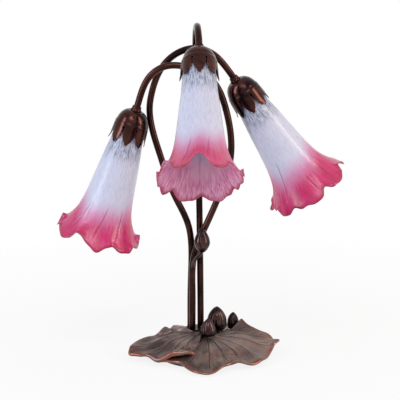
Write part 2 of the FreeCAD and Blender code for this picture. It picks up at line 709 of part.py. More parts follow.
def bulb_glass():
    """Small pear-shaped bulb, closed at its tip."""
    s = BULB_BASE_S + BULB_BASE_LENGTH
    r = BULB_D / 2
    neck = BULB_BASE_D / 2 - 0.3
    outside = smooth_edge([
        V(neck, 0, s), V(neck * 1.15, 0, s + 4), V(r * 0.93, 0, s + BULB_LENGTH * 0.32),
        V(r, 0, s + BULB_LENGTH * 0.50), V(r * 0.80, 0, s + BULB_LENGTH * 0.76),
        V(r * 0.34, 0, s + BULB_LENGTH * 0.96), V(0, 0, s + BULB_LENGTH),
    ])
    base = Part.makeLine(V(0, 0, s), V(neck, 0, s))
    axis = Part.makeLine(V(0, 0, s + BULB_LENGTH), V(0, 0, s))
    wire = Part.Wire(Part.__sortEdges__([base, outside, axis]))
    return Part.Face(wire).revolve(V(0, 0, 0), V(0, 0, 1), 360)


# ---- cast lily pads --------------------------------------------------------------------------------
def foot_height(radius):
    """Height of the foot's top surface at a distance from its middle."""
    if radius <= FOOT_FLAT:
        return FOOT_TOP
    if radius > FOOT_RADIUS:
        return 0
    slope = (FOOT_LOW + FOOT_RIM - FOOT_TOP) / (FOOT_RADIUS - FOOT_FLAT)
    return FOOT_TOP + slope * (radius - FOOT_FLAT)


def pad_points(pad, drop):
    """Grid of points on a pad: rays from its hub to its edge, dropped by a thickness."""
    hub = pad["hub"]
    rays = []
    for degrees, reach, height in pad["edge"]:
        edge = height * PAD_LIFT
        ray = []
        for k in range(PAD_RINGS + 1):
            share = PAD_CORE + (1 - PAD_CORE) * k / PAD_RINGS
            point = hub + at_polar(reach * PAD_SPREAD * share, degrees, 0)
            level = hub.z + (edge - hub.z) * share ** PAD_FALL
            clear = foot_height(math.hypot(point.x, point.y)) + PAD_THICK + CAST_GAP / 2
            ray.append(V(point.x, point.y, max(level, clear) - drop))
        rays.append(ray)
    return rays


def open_surface(rows):
    """Smooth four-sided surface pulled by rows of control points, on its outline at the edges."""
    row_knots, row_mults = knots_clamped(len(rows), 3)
    line_knots, line_mults = knots_clamped(len(rows[0]), 3)
    surface = Part.BSplineSurface()
    surface.buildFromPolesMultsKnots(
        rows, row_mults, line_mults, row_knots, line_knots, False, False, 3, 3
    )
    return surface


def pad_slab(pad):
    top = open_surface(pad_points(pad, 0))
    under = open_surface(pad_points(pad, PAD_THICK))
    u0, u1, v0, v1 = top.bounds()
    sides = [
        Part.makeRuledSurface(top.uIso(u).toShape(), under.uIso(u).toShape()) for u in (u0, u1)
    ] + [
        Part.makeRuledSurface(top.vIso(v).toShape(), under.vIso(v).toShape()) for v in (v0, v1)
    ]
    return sewn_solid([top.toShape(), under.toShape()] + sides)


def bud_place(name):
    """Middle of a base bud's foot."""
    owner, offset, height, radius = BASE_BUDS[name]
    return PADS[owner]["hub"] + V(offset.x * PAD_SPREAD, offset.y * PAD_SPREAD, offset.z)


def lily_pad(side):
    """Pad with the pillar it stands on, a seat for each of its buds and a way past the block."""
    pad = PADS[side]
    body = pad_slab(pad)
    x, y = pad["boss"]
    pillar_height = pad["hub"].z - PAD_THICK / 2 - FOOT_TOP
    body = body.fuse(Part.makeCylinder(PAD_BOSS, pillar_height, V(x, y, FOOT_TOP)))
    for name, (owner, offset, height, radius) in BASE_BUDS.items():
        if owner == side:
            foot = bud_place(name)
            seat_low = V(foot.x, foot.y, pad["hub"].z - PAD_THICK * 1.5)
            seat = Part.makeCylinder(radius * BUD_FOOT - 1, foot.z - seat_low.z, seat_low)
            body = body.fuse(seat)
    block_low = V(BLOCK_X, BLOCK_Y, FOOT_TOP - CUT_OVER)
    body = body.cut(Part.makeCylinder(BLOCK_RADIUS + CAST_GAP, BLOCK_HEIGHT * 3, block_low))
    thread_depth = PAD_SCREW_LEN - FOOT_ROOF
    return body.cut(Part.makeCylinder(PAD_SCREW_D / 2 + RUN_FIT, thread_depth, V(x, y, FOOT_TOP)))


def pad_screws():
    screws = []
    for x, y in PAD_SPOTS:
        head = Part.makeCylinder(PAD_SCREW_D, PAD_SCREW_HEAD, V(x, y, SPACE_ROOF - PAD_SCREW_HEAD))
        shank = Part.makeCylinder(PAD_SCREW_D / 2, PAD_SCREW_LEN - LEAD_END_GAP, V(x, y, SPACE_ROOF))
        screws.append(head.fuse(shank))
    return Part.makeCompound(screws)


def bud_solid(height, radius, foot):
    """Egg standing on a flat foot, widest below the middle and pointed at the top."""
    outside = smooth_edge([
        V(foot, 0, 0), V(radius * 0.94, 0, height * 0.18), V(radius, 0, height * 0.34),
        V(radius * 0.88, 0, height * 0.58), V(radius * 0.52, 0, height * 0.84), V(0, 0, height),
    ])
    base = Part.makeLine(V(0, 0, 0), V(foot, 0, 0))
    axis = Part.makeLine(V(0, 0, height), V(0, 0, 0))
    wire = Part.Wire(Part.__sortEdges__([base, outside, axis]))
    return Part.Face(wire).revolve(V(0, 0, 0), V(0, 0, 1), 360)


def base_bud(name):
    owner, offset, height, radius = BASE_BUDS[name]
    bud = bud_solid(height, radius, radius * BUD_FOOT)
    bud.translate(bud_place(name))
    return bud


def stem_bud():
    """Closed bud on a short stalk that is brazed to the front of a stem."""
    bud = bud_solid(STEM_BUD_HEIGHT, STEM_BUD_RADIUS, STEM_BUD_FOOT)
    bottom = STEM_BUD - V(0, 0, STEM_BUD_HEIGHT / 2)
    bud.translate(bottom)
    points = [
        V(-12.9, STALK_Y, 108), V(-12.0, STALK_Y, 115), V(-7.5, STALK_Y - 3, 124),
        bottom + V(0, 0, 2),
    ]
    curve = Part.BSplineCurve()
    curve.interpolate(Points=points, InitialTangent=V(0, 0, 1), FinalTangent=V(0.3, -0.2, 1))
    stalk = swept(Part.Wire([curve.toShape()]), [STALK_D / 2])
    return bud.fuse(stalk)


# ---- the whole lamp --------------------------------------------------------------------------------
def save(name, shape):
    volume = sum(solid.Volume for solid in shape.Solids)
    print(name, len(shape.Solids), "solid(s)", round(volume), "mm3", "valid", shape.isValid())
    shape.exportStep("parts/" + name + ".step")


def save_head(side):
    place = frame_at(*HEADS[side])
    makers = {
        "arm_nipple": arm_nipple, "arm_collar": arm_collar, "calyx": calyx,
        "lampholder": lampholder, "screw_shell": screw_shell, "shade_ring": shade_ring,
        "bulb_base": bulb_base, "bulb_glass": bulb_glass,
    }
    for name, maker in makers.items():
        shape = maker()
        shape.Placement = place.multiply(shape.Placement)
        save(name + "_" + side, shape)
    shade = glass_shade(side)
    shade.Placement = place
    save("glass_shade_" + side, shade)
    save("arm_tube_" + side, arm_tube(side))
    save("inner_lead_" + side, inner_lead(side))


def main():
    os.makedirs("parts", exist_ok=True)
    for maker in (
        base_felt, base_foot, wiring_cover, cover_screws, cord_inlet_bushing, arm_socket,
        socket_washer, socket_nut, wire_connectors, pad_screws, stem_bud,
    ):
        save(maker.__name__, maker())
    for side in PADS:
        save("lily_pad_" + side, lily_pad(side))
    for name in BASE_BUDS:
        save(name, base_bud(name))
    for side in HEADS:
        save_head(side)


main()
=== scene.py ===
# %% [markdown]
# # A table lamp with three drooping flower shades
# The lamp has bent bronze stems, leaf cups, ruffled shades of streaked glass and a foot hidden under
# cast lily pads and buds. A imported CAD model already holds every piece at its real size, so this
# script starts from it and never moves it. What CAD left plain (glass, leaf cups, collars, pads,
# buds) is modelled again here as finer meshes in the same places, and every surface gets its finish.

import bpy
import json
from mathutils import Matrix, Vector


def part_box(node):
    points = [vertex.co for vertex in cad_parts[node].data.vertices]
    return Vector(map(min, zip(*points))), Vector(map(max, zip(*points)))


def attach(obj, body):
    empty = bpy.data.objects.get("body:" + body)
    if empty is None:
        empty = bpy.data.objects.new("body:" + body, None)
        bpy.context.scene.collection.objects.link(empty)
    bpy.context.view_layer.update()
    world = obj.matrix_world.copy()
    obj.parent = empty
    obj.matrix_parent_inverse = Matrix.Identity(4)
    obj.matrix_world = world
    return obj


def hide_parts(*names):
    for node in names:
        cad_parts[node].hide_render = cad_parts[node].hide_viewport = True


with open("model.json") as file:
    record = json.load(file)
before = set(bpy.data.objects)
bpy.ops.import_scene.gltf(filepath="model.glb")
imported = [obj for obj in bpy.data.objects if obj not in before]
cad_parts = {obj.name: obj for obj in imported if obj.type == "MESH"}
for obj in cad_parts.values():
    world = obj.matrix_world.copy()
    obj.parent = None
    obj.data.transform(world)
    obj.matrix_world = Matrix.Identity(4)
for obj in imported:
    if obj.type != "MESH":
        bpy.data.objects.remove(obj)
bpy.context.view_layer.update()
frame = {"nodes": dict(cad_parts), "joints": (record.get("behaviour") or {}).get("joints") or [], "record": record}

import itertools
import json
import math

import bpy
import numpy as np
from mathutils import Matrix, Vector

MM = 0.001

# %% [markdown]
# ## Where the three lamp heads are
# Each shade turns on a hinge whose point is the top of its leaf cup and whose axis runs down the
# shade. The frame lists that hinge, so the heads are read from it and not typed again. Along each
# head, s is the distance down the axis in millimetres, and an angle of 90 degrees faces the viewer.

# %% Head axes
HEADS = {}
for joint in frame["joints"]:
    if joint["name"].endswith("_turn"):
        down = Vector(joint["axis"]).normalized()
        across = (Vector((1, 0, 0)) - down * down.x).normalized()
        toward = down.cross(across)
        top = Vector(joint["pos_m"])
        HEADS[joint["name"].split("_")[1]] = Matrix((across, toward, down)).transposed(), top
print("heads:", sorted(HEADS))


def on_head(side, points):
    """Points of one head, in its own millimetres, brought to the lamp's metres."""
    turn, top = HEADS[side]
    return np.asarray(points) * MM @ np.array(turn).T + np.array(top)


# %% [markdown]
# ## Helpers for meshes
# Nearly every piece here is a skin that can be described as a grid: rows along it and columns
# around it. One function turns such a grid into a mesh. Values that a finish needs later, such as
# how near a point is to an edge, are stored on the mesh as attributes, because they are then
# worked out once, from the shape, and the material only reads them.

# %% Grid to mesh
def grid_quads(rows, columns, around=False, along=False):
    """Quads of a grid of points; around and along say which way it closes on itself."""
    row_count = rows if along else rows - 1
    column_count = columns if around else columns - 1
    r, c = np.meshgrid(np.arange(row_count), np.arange(column_count), indexing="ij")
    r, c = r.ravel(), c.ravel()
    r1, c1 = (r + 1) % rows, (c + 1) % columns
    return np.stack([r * columns + c, r * columns + c1, r1 * columns + c1, r1 * columns + c], 1)


def make_piece(name, points, quads, body, instead, marks=None, extra_faces=()):
    """A smooth mesh piece that rides a body, stands for CAD nodes and carries named values."""
    mesh = bpy.data.meshes.new(name)
    faces = [tuple(q) for q in quads.tolist()] + list(extra_faces)
    mesh.from_pydata(np.asarray(points).reshape(-1, 3).tolist(), [], faces)
    for key, values in (marks or {}).items():
        values = np.asarray(values, np.float32)
        if values.shape[-1] == 3 and values.ndim > 1 and values.size == 3 * len(mesh.vertices):
            mesh.attributes.new(key, "FLOAT_VECTOR", "POINT").data.foreach_set("vector", values.ravel())
        else:
            mesh.attributes.new(key, "FLOAT", "POINT").data.foreach_set("value", values.ravel())
    mesh.polygons.foreach_set("use_smooth", [True] * len(mesh.polygons))
    mesh.update()
    piece = bpy.data.objects.new(name, mesh)
    bpy.context.scene.collection.objects.link(piece)
    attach(piece, body)
    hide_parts(*instead)
    print(name, len(mesh.vertices), "points")
    return piece


# %% [markdown]
# ## Curves from a few points
# A glass blower or a founder works to flowing outlines, not to corners. Every outline below is given
# by the few points that its shape needs, and these helpers draw the smooth curve that they pull.

# %% Curves that follow a few points
def pulled(points, count):
    """Smooth curve pulled by a few control points (a clamped cubic B-spline), evenly sampled."""
    points = np.asarray(points, float)
    spans = len(points) - 3
    knots = np.concatenate([[0] * 3, np.arange(spans + 1), [spans] * 3]).astype(float)
    at = np.linspace(0, spans - 1e-9, count)
    basis = [(knots[i] <= at) & (at < knots[i + 1]) for i in range(len(knots) - 1)]
    basis = np.array(basis, float)
    for degree in (1, 2, 3):
        raised = np.zeros((len(knots) - 1 - degree, count))
        for i in range(len(raised)):
            left, right = knots[i + degree] - knots[i], knots[i + degree + 1] - knots[i + 1]
            if left:
                raised[i] += (at - knots[i]) / left * basis[i]
            if right:
                raised[i] += (knots[i + degree + 1] - at) / right * basis[i + 1]
        basis = raised
    return basis.T @ points


def around_keys(keys, degrees):
    """Value at each angle from (angle, value) keys that go once round, joined without corners."""
    keys = sorted(keys)
    x = np.array([k[0] for k in keys], float)
    y = np.array([k[1] for k in keys], float)
    x = np.concatenate([x[-2:] - 360, x, x[:2] + 360])
    y = np.concatenate([y[-2:], y, y[:2]])
    at = (np.asarray(degrees, float) - x[2]) % 360 + x[2]
    i = np.clip(np.searchsorted(x, at, side="right") - 1, 1, len(x) - 3)
    width = x[i + 1] - x[i]
    t = (at - x[i]) / width
    slope0 = (y[i + 1] - y[i - 1]) / (x[i + 1] - x[i - 1]) * width
    slope1 = (y[i + 2] - y[i]) / (x[i + 2] - x[i]) * width
    return (
        y[i] * (1 + 2 * t) * (1 - t) ** 2 + slope0 * t * (1 - t) ** 2
        + y[i + 1] * t * t * (3 - 2 * t) + slope1 * t * t * (t - 1)
    )


def ease(value, low, high):
    """0 below low, 1 above high, and a soft step between."""
    t = np.clip((np.asarray(value, float) - low) / (high - low), 0, 1)
    return t * t * (3 - 2 * t)


def bump_at(value, middle, width):
    """A rounded hill, 1 at its middle."""
    return np.exp(-(((value - middle) / width) ** 2))


# %% [markdown]
# ## Helpers for finishes
# A finish is a small tree of shader nodes. The function below adds one node and fills its inputs:
# a plain number is typed in, and the output of another node is linked. All finishes end in one
# Principled shader. Whatever is the same all over is set on that shader's own socket.

# %% Shader node helpers
class Finish:
    """One procedural material, built node by node."""

    def __init__(self, name, **plain):
        self.material = bpy.data.materials.new(name)
        self.material.use_nodes = True
        self.tree = self.material.node_tree
        self.shader = self.tree.nodes["Principled BSDF"]
        self.fill(self.shader, {key.replace("_", " "): value for key, value in plain.items()})

    def fill(self, node, inputs):
        for key, value in inputs.items():
            socket = node.inputs[key]
            if isinstance(value, bpy.types.NodeSocket):
                self.tree.links.new(value, socket)
            elif isinstance(value, tuple) and len(value) == 3 and socket.type == "RGBA":
                socket.default_value = (*value, 1)
            else:
                socket.default_value = value

    def add(self, kind, inputs, out=0, **settings):
        node = self.tree.nodes.new("ShaderNode" + kind)
        for key, value in settings.items():
            setattr(node, key, value)
        self.fill(node, inputs)
        return node.outputs[out]

    def place(self, stretch=(1, 1, 1)):
        """The point on the object in metres, stretched along its axes."""
        where = self.add("TexCoord", {}, "Object")
        return self.add("Mapping", {"Vector": where, "Scale": stretch})

    def mark(self, name, out="Fac"):
        """A value stored on the mesh."""
        return self.add("Attribute", {}, out, attribute_name=name, attribute_type="GEOMETRY")

    def noise(self, where, scale, detail=3.0, rough=0.55, warp=0.0):
        inputs = {"Vector": where, "Scale": scale, "Detail": detail, "Roughness": rough, "Distortion": warp}
        return self.add("TexNoise", inputs, "Fac")

    def ramp(self, value, low, high, to_low=0.0, to_high=1.0):
        inputs = {"Value": value, "From Min": low, "From Max": high, "To Min": to_low, "To Max": to_high}
        return self.add("MapRange", inputs)

    def combine(self, a, b, how="ADD"):
        """Two values added, or joined by another sum."""
        return self.add("Math", {0: a, 1: b}, operation=how)

    def blend(self, share, a, b):
        """Colour a turned into colour b by a share."""
        node = self.tree.nodes.new("ShaderNodeMix")
        node.data_type = "RGBA"
        for socket, value in ((node.inputs[0], share), (node.inputs[6], a), (node.inputs[7], b)):
            if isinstance(value, bpy.types.NodeSocket):
                self.tree.links.new(value, socket)
            else:
                socket.default_value = (*value, 1) if isinstance(value, tuple) else value
        return node.outputs[2]

    def relief(self, height, depth, strength=1.0):
        """Fine relief in the surface, with its depth in metres."""
        normal = self.add("Bump", {"Height": height, "Distance": depth, "Strength": strength})
        self.fill(self.shader, {"Normal": normal})

    def end(self, colour=None, rough=None):
        if colour is not None:
            self.fill(self.shader, {"Base Color": colour})
        if rough is not None:
            self.fill(self.shader, {"Roughness": rough})
        return self.material


def wear(piece, material):
    """Give a piece or CAD node its only material."""
    piece.data.materials.clear()
    piece.data.materials.append(material)


# %% [markdown]
# ## The bronze of the lamp
# Stems, cups, buds and pads are brass and steel with a dark, reddish brown patina under lacquer.
# It isn't one colour: the patina pools almost black in places and thins to red-brown in others.
# Cloudy noise mixes the two, a finer cloud changes the gloss, and a fine grain roughens the skin.
# The finish is nearly all metal and quite smooth, so its mirrored light gives the thin pale edges
# that the stems show.

# %% Patina finish
DARK_PATINA = (0.016, 0.008, 0.008)
WARM_PATINA = (0.072, 0.027, 0.021)


def patina(name, dark, warm, cloud, rough, grain=900.0, depth=0.00001, metal=1.0):
    """Lacquered brown patina; cloud is how many colour patches there are to a metre."""
    f = Finish(name, Metallic=metal)
    where = f.place()
    patches = f.noise(where, cloud, 4.0, 0.6, 0.6)
    mixed = f.ramp(patches, 0.38, 0.66)
    colour = f.blend(mixed, dark, warm)
    fine = f.noise(where, grain, 3.0)
    f.relief(fine, depth, 0.6)
    gloss = f.ramp(f.noise(where, cloud * 4, 3.0), 0.3, 0.7, rough * 0.75, rough * 1.25)
    return f, colour, gloss


def plain_patina(name, *args, **more):
    """A patina with nothing else on it."""
    f, colour, gloss = patina(name, *args, **more)
    return f.end(colour, gloss)


stem_finish = plain_patina("stem_bronze", DARK_PATINA, WARM_PATINA, 22.0, 0.18)
socket_finish = plain_patina("socket_bronze", DARK_PATINA, WARM_PATINA, 40.0, 0.34)
print("bronze finishes made")

# %% [markdown]
# ## Shade glass
# The shades are blown of milky glass with fine drawn-out threads, white at the neck and magenta on
# the flare. The threads run lengthwise, so the noise is stretched: its place is (cosine, sine, s),
# stored on the mesh, which keeps the threads running down the flower wherever it leans. How pink a
# point is and where its veins run are stored there too, and so is a painted shade: the glass just
# below the cup is painted darker and bluer, as the cup's shade on it. The lining is painted a
# lighter lilac than the outside, as painted light that comes through the wall. A little subsurface
# scattering lets light through the thin wall, as opal glass does.

# %% Shade glass finish
def shade_glass():
    f = Finish(
        "shade_glass", IOR=1.5, Subsurface_Weight=0.25, Subsurface_Radius=(1.0, 0.75, 0.85),
        Subsurface_Scale=0.006, Coat_Weight=0.15, Coat_Roughness=0.15,
    )
    flow = f.mark("flow", "Vector")
    threads = f.noise(flow, 30.0, 5.0, 0.66, 0.35)
    bands = f.noise(flow, 8.0, 3.0, 0.55, 0.8)
    pink = f.mark("pink")
    inside = f.mark("inside")
    vein = f.mark("vein")
    painted_cup_shade = f.mark("painted_cup_shade")
    edge = f.mark("edge")
    white = f.blend(f.ramp(threads, 0.35, 0.65), (0.50, 0.51, 0.66), (0.66, 0.66, 0.79))
    # Painted shade below the leaf cup: a dark, bluish copy of the white, blended in near the neck.
    shaded_white = f.blend(f.ramp(threads, 0.44, 0.56), (0.10, 0.12, 0.20), (0.58, 0.60, 0.73))
    white = f.blend(painted_cup_shade, white, shaded_white)
    magenta = f.blend(f.ramp(bands, 0.35, 0.70), (0.46, 0.004, 0.080), (0.62, 0.014, 0.165))
    # Painted light: the lining is painted a lighter lilac than the outside, standing for light that comes through
    # the wall.
    lit_lining_lilac = f.blend(f.ramp(threads, 0.40, 0.62), (0.52, 0.07, 0.24), (0.84, 0.45, 0.62))
    flare = f.blend(inside, magenta, lit_lining_lilac)
    frayed = f.combine(pink, f.ramp(threads, 0.3, 0.7, -0.16, 0.16))
    # Painted light as well: the half-pink zone is lighter on the lining.
    half = f.blend(inside, (0.60, 0.27, 0.46), (0.74, 0.46, 0.60))
    colour = f.blend(f.ramp(frayed, 0.05, 0.50), white, half)
    colour = f.blend(f.ramp(frayed, 0.45, 0.98), colour, flare)
    colour = f.blend(f.combine(vein, 0.75, "MULTIPLY"), colour, (0.32, 0.008, 0.075))
    colour = f.blend(edge, colour, (0.34, 0.003, 0.030))
    f.relief(threads, 0.0003, 0.5)
    gloss = f.ramp(threads, 0.3, 0.7, 0.22, 0.38)
    return f.end(colour, gloss)


glass_finish = shade_glass()

# %% [markdown]
# ## Shades
# A blown shade starts round at its neck. Its rim is then worked with pliers while hot, which makes
# lobes, notches and a thin lip that turns outward. So the mesh starts as a turned outline and is
# displaced more and more towards the rim: by keys round the rim that say how far each lobe hangs,
# by smaller frills, and by creases that run up from the rim. The wall is real: the grid goes down
# the outside, round the lip and back up the inside.

# %% Shade outline and rims
NECK_S = 24.0
NECK_THICK = 3.0
NECK_HOLE = 13.8
GLASS_RADIUS = 18.6
GLASS_WALL = 2.2
LIP_WALL = 1.3
RIM_S = 156.6
RIM_RADIUS = 49.0
LOBE_OUT = 4.5            # how far a lobe of 1 moves the rim outward
LOBE_DOWN = 7.5           # and down the axis
CURL_OUT, CURL_UP = 1.2, 1.6       # how far the lip turns out and up in the notches
FLICK_OUT, FLICK_UP = 0.2, 3.4     # how far a tip of 1 is flicked out and up
CREASE_SINK = 0.45        # depth of a crease in the skin
CREASE_SPREAD = 1.1       # and its half width in degrees
CREASE_FADE = (146, 155)  # s where the creases fade out before the rim
VEIN_INSIDE = 0.6         # how strongly a crease's dark line shows on the inside
PINK_FROM, PINK_TO = 100, 146      # s where the pink starts and is full
# The glass below the cup is painted darker between these levels, as painted shade from the cup.
CUP_SHADE_FROM, CUP_SHADE_TO = 42, 68        # s where the grey below the cup ends
EDGE_FROM, EDGE_TO = 153.5, 157    # s where the dark line of the lip starts and is full

# Rim keys: (degrees, how far the lobe hangs). The front half follows the photograph.
RIMS = {
    "centre": [
        (0, -0.4), (14, 0.2), (28, 0.5), (40, -0.2), (47, -0.5), (56, 0.3), (64, 0.7), (72, 0.6),
        (80, -0.1), (90, -1.1), (98, -0.9), (106, 0.2), (113, 0.75), (121, 0.6), (133, -0.5),
        (148, -0.9), (165, 0.1), (180, -0.2), (196, 0.3), (212, 0.5), (220, 0.4), (228, -0.2),
        (240, 0.5), (258, 0.7), (270, 0.0), (284, 0.6), (300, 0.6), (312, 0.4), (322, -0.2),
        (330, 0.3), (345, -0.1),
    ],
    "left": [
        (-12, -0.5), (10, 0.2), (24, 0.0), (36, 0.3), (46, 0.5), (57, 0.1), (66, -0.3), (73, 0.0),
        (84, 0.6), (96, 0.4), (106, -0.1), (115, -0.6), (122, -0.6), (129, 0.5), (142, 0.6),
        (156, 0.3), (168, 0.2), (178, 0.2), (190, -0.6), (205, 0.4), (220, 0.6), (232, -0.4),
        (248, 0.7), (262, 0.4), (272, -0.5), (288, 0.6), (304, 0.5), (316, -0.4), (332, 0.5),
    ],
    "right": [
        (6, 0.3), (15, -0.4), (26, 0.4), (38, 0.7), (50, 0.7), (63, -0.1), (73, 0.5), (86, 0.7),
        (102, 0.5), (115, 0.1), (127, 0.7), (142, 0.5), (156, 0.1), (164, -0.2), (173, 0.8),
        (184, -0.5), (196, 0.4), (208, 0.0), (222, 0.6), (236, -0.4), (252, 0.4), (268, -0.3),
        (284, 0.3), (300, -0.4), (314, 0.5), (328, -0.3), (344, 0.3),
    ],
}
# Tips of the rim that are flicked back: (degrees, spread, how far).
TIPS = {
    "centre": [(2, 5, 1.6), (24, 5, 0.8), (176, 5, 1.6), (150, 5, 0.8), (205, 5, 0.9), (334, 5, 0.9),
               (262, 6, 0.4)],
    "left": [(184, 5, 1.3), (166, 5, 0.8), (-4, 5, 1.4), (30, 5, 0.6), (215, 6, 1.0), (302, 6, 1.0)],
    "right": [(174, 5, 1.5), (150, 4, 0.7), (6, 5, 1.6), (26, 5, 0.9), (50, 5, 0.5), (222, 6, 1.0),
              (284, 6, 1.0)],
}
SLIMMER = {"centre": 0.06, "left": 0.0, "right": 0.0}     # the blown shades differ a little
# Creases: (degrees at their top, degrees at the rim, s where they start).
CREASES = {
    "centre": [(109, 116, 117), (72, 82, 120), (25, 30, 125), (150, 158, 120), (270, 268, 112),
               (225, 229, 118), (312, 318, 118)],
    "left": [(129, 143, 112), (84, 98, 110), (46, 62, 112), (5, 12, 118), (176, 190, 118),
             (230, 234, 116), (275, 272, 116), (316, 318, 118)],
    "right": [(117, 128, 100), (30, 49, 116), (76, 72, 128), (165, 166, 122), (208, 208, 118),
              (236, 236, 116), (268, 268, 116), (300, 302, 116), (345, 345, 118)],
}

# %% [markdown]
# ## Shaping the glass
# On the real shade the rim is softened in the fire and pressed into its waves, so the waves are
# large at the lip and die out up the flare. The profile carries that share along with its radius,
# and the same function shapes the outside and the lining, which keeps the wall's thickness true.

# %% Build one shade
AROUND = 320


def shade_profile():
    """Rows (r, s, share of the rim's waves) down the outside of the glass."""
    flare = RIM_RADIUS - GLASS_RADIUS
    length = RIM_S - NECK_S
    steps = [(0.11, 0.23), (0.18, 0.35), (0.245, 0.48), (0.31, 0.60), (0.38, 0.71), (0.485, 0.81),
             (0.67, 0.895), (0.86, 0.96), (1.0, 1.0)]
    points = [(NECK_HOLE, NECK_S, 0), (NECK_HOLE + 2.4, NECK_S, 0), (GLASS_RADIUS, NECK_S + 0.4, 0),
              (GLASS_RADIUS + 0.1, NECK_S + 6, 0), (GLASS_RADIUS + 0.9, NECK_S + 16, 0)]
    for i, (out, down) in enumerate(steps):
        share = max(0.0, (i - 2) / 6) ** 1.6
        points.append((GLASS_RADIUS + flare * out, NECK_S + length * down, share))
    return pulled(points, 120)


def ruffled(profile, side, wall):
    """Grid of points of a skin of the shade, a wall's thickness inside the outer one."""
    degrees = np.arange(AROUND) * 360 / AROUND
    turn = np.radians(degrees)
    lobes = around_keys(RIMS[side], degrees)
    flick = np.zeros(AROUND)
    for tip, spread, height in TIPS[side]:
        flick += height * bump_at((degrees - tip + 180) % 360 - 180, 0, spread)
    seed = {"left": 0.4, "right": 2.1, "centre": 3.9}[side]
    frill = 0.10 * np.sin(13 * turn + seed) + 0.05 * np.sin(21 * turn + 3 * seed)
    r, s, share = (profile[:, i, None] for i in range(3))
    near_lip = share ** 3
    wave = lobes * share + frill * near_lip
    slope = np.gradient(profile[:, :2], axis=0)
    slope /= np.linalg.norm(slope, axis=1)[:, None]
    out_r, out_s = slope[:, 1, None], -slope[:, 0, None]
    shift = -wall - CREASE_SINK * crease_depth(side, degrees, profile[:, 1])
    radius = r + LOBE_OUT * wave + out_r * shift
    level = s + LOBE_DOWN * wave + out_s * shift
    curl = bump_at(share, 1.0, 0.16) * ease(-lobes, -0.2, 0.8)
    tip_zone = bump_at(share, 1.0, 0.12)
    radius += CURL_OUT * curl + FLICK_OUT * flick * tip_zone
    level -= CURL_UP * curl + FLICK_UP * flick * tip_zone
    radius *= 1 - SLIMMER[side] * ease(level, 34, 60)
    return np.stack([radius * np.cos(turn), radius * np.sin(turn), level], 2)


def crease_depth(side, degrees, s):
    """How deep the creases are at each row and column, 0 to 1."""
    depth = np.zeros((len(s), len(degrees)))
    for top, rim, start in CREASES[side]:
        share = np.clip((s - start) / (RIM_S - start), 0, 1)
        middle = top + (rim - top) * share
        apart = (degrees[None, :] - middle[:, None] + 180) % 360 - 180
        fade = ease(s, start, start + 12) * (1 - ease(s, *CREASE_FADE))
        depth = np.maximum(depth, bump_at(apart, 0, CREASE_SPREAD) * fade[:, None])
    return depth


def glass_marks(side, profile):
    """What the finish has to know at each point of the outside."""
    degrees = np.arange(AROUND) * 360 / AROUND
    turn = np.radians(degrees)
    s = profile[:, 1]
    whole = np.ones((len(s), AROUND))
    uneven = 5 * np.sin(2 * turn + 1) + 3 * np.sin(5 * turn)
    pink = ease(s[:, None] + uneven[None, :], PINK_FROM, PINK_TO)
    # Painted shade below the cup: 1 at the neck, fading out down to the flare.
    painted_cup_shade = (1 - ease(s, CUP_SHADE_FROM, CUP_SHADE_TO))[:, None] * whole
    edge = ease(s, EDGE_FROM, EDGE_TO)[:, None] * (0.70 + 0.25 * np.sin(7 * turn))[None, :]
    flow = np.stack([whole * np.cos(turn), whole * np.sin(turn), s[:, None] * 0.0042 * whole], 2)
    return {
        "pink": pink, "painted_cup_shade": painted_cup_shade, "edge": np.clip(edge, 0, 1), "flow": flow,
        "vein": crease_depth(side, degrees, s), "inside": whole * 0,
    }


def build_shade(side):
    """Outside, lip and lining of one shade in one closed grid."""
    outer = shade_profile()
    share = np.linspace(0, 1, len(outer))
    wall = GLASS_WALL + (LIP_WALL - GLASS_WALL) * ease(share, 0.6, 1.0)[:, None]
    wall[:6] = NECK_THICK
    outside = ruffled(outer, side, 0)
    inside = ruffled(outer, side, wall)
    keep = outer[:, 0] > NECK_HOLE + 2.6
    inner_rows = np.nonzero(keep)[0]
    lining = inside[inner_rows]
    lip = (outside[-1:] + lining[-1:]) / 2 + 0.45 * (outside[-1:] - outside[-4:-3])
    neck_edge = outside[:1] + np.array([0, 0, NECK_THICK])
    grid = np.concatenate([outside, lip, lining[::-1], neck_edge])
    marks = {}
    for key, value in glass_marks(side, outer).items():
        flipped = value[inner_rows][::-1]
        # The lining gets 1 here, which paints it lighter, as painted light through the wall.
        if key == "inside":
            flipped = np.ones_like(flipped)
        if key == "vein":
            flipped = flipped * VEIN_INSIDE
        marks[key] = np.concatenate([value, value[-1:], flipped, value[:1]])
    quads = grid_quads(len(grid), AROUND, around=True, along=True)
    piece = make_piece(
        "shade_glass_" + side, on_head(side, grid), quads, "shade_" + side,
        ["glass_shade_" + side],
        {k: (v.reshape(-1, 3) if k == "flow" else v.ravel()) for k, v in marks.items()},
    )
    wear(piece, glass_finish)


for side in HEADS:
    build_shade(side)

# %% [markdown]
# ## Leaf cups
# Each cup is pressed from thin sheet, slit eight times from below and cut into leaves, whose tips
# are then bent outward. Every slit ends in a small round hole, which keeps the sheet from tearing,
# and smaller holes let the heat of the bulb out at the shoulder. The mesh is made of sixteen
# strips, each half a leaf wide. A strip's two edges move apart where there is a slit, a hole or the
# gap between two leaf tips, so all the cuts are true openings with no boolean. Strips that touch
# are then merged, and a Solidify modifier gives the sheet its thickness.

# %% Leaf cup finish
calyx_finish = plain_patina("calyx_bronze", (0.014, 0.008, 0.010), (0.095, 0.036, 0.027), 26.0, 0.19)

# %% [markdown]
# ## Shaping the leaf cups
# Such a cup can be drawn over a former, then slit and trimmed in a press. Its tips are bent by hand
# at the end, so no two leaves bend quite alike. The rows of the grid lie closer together at the holes, because
# there the edge of each cut turns quickly.

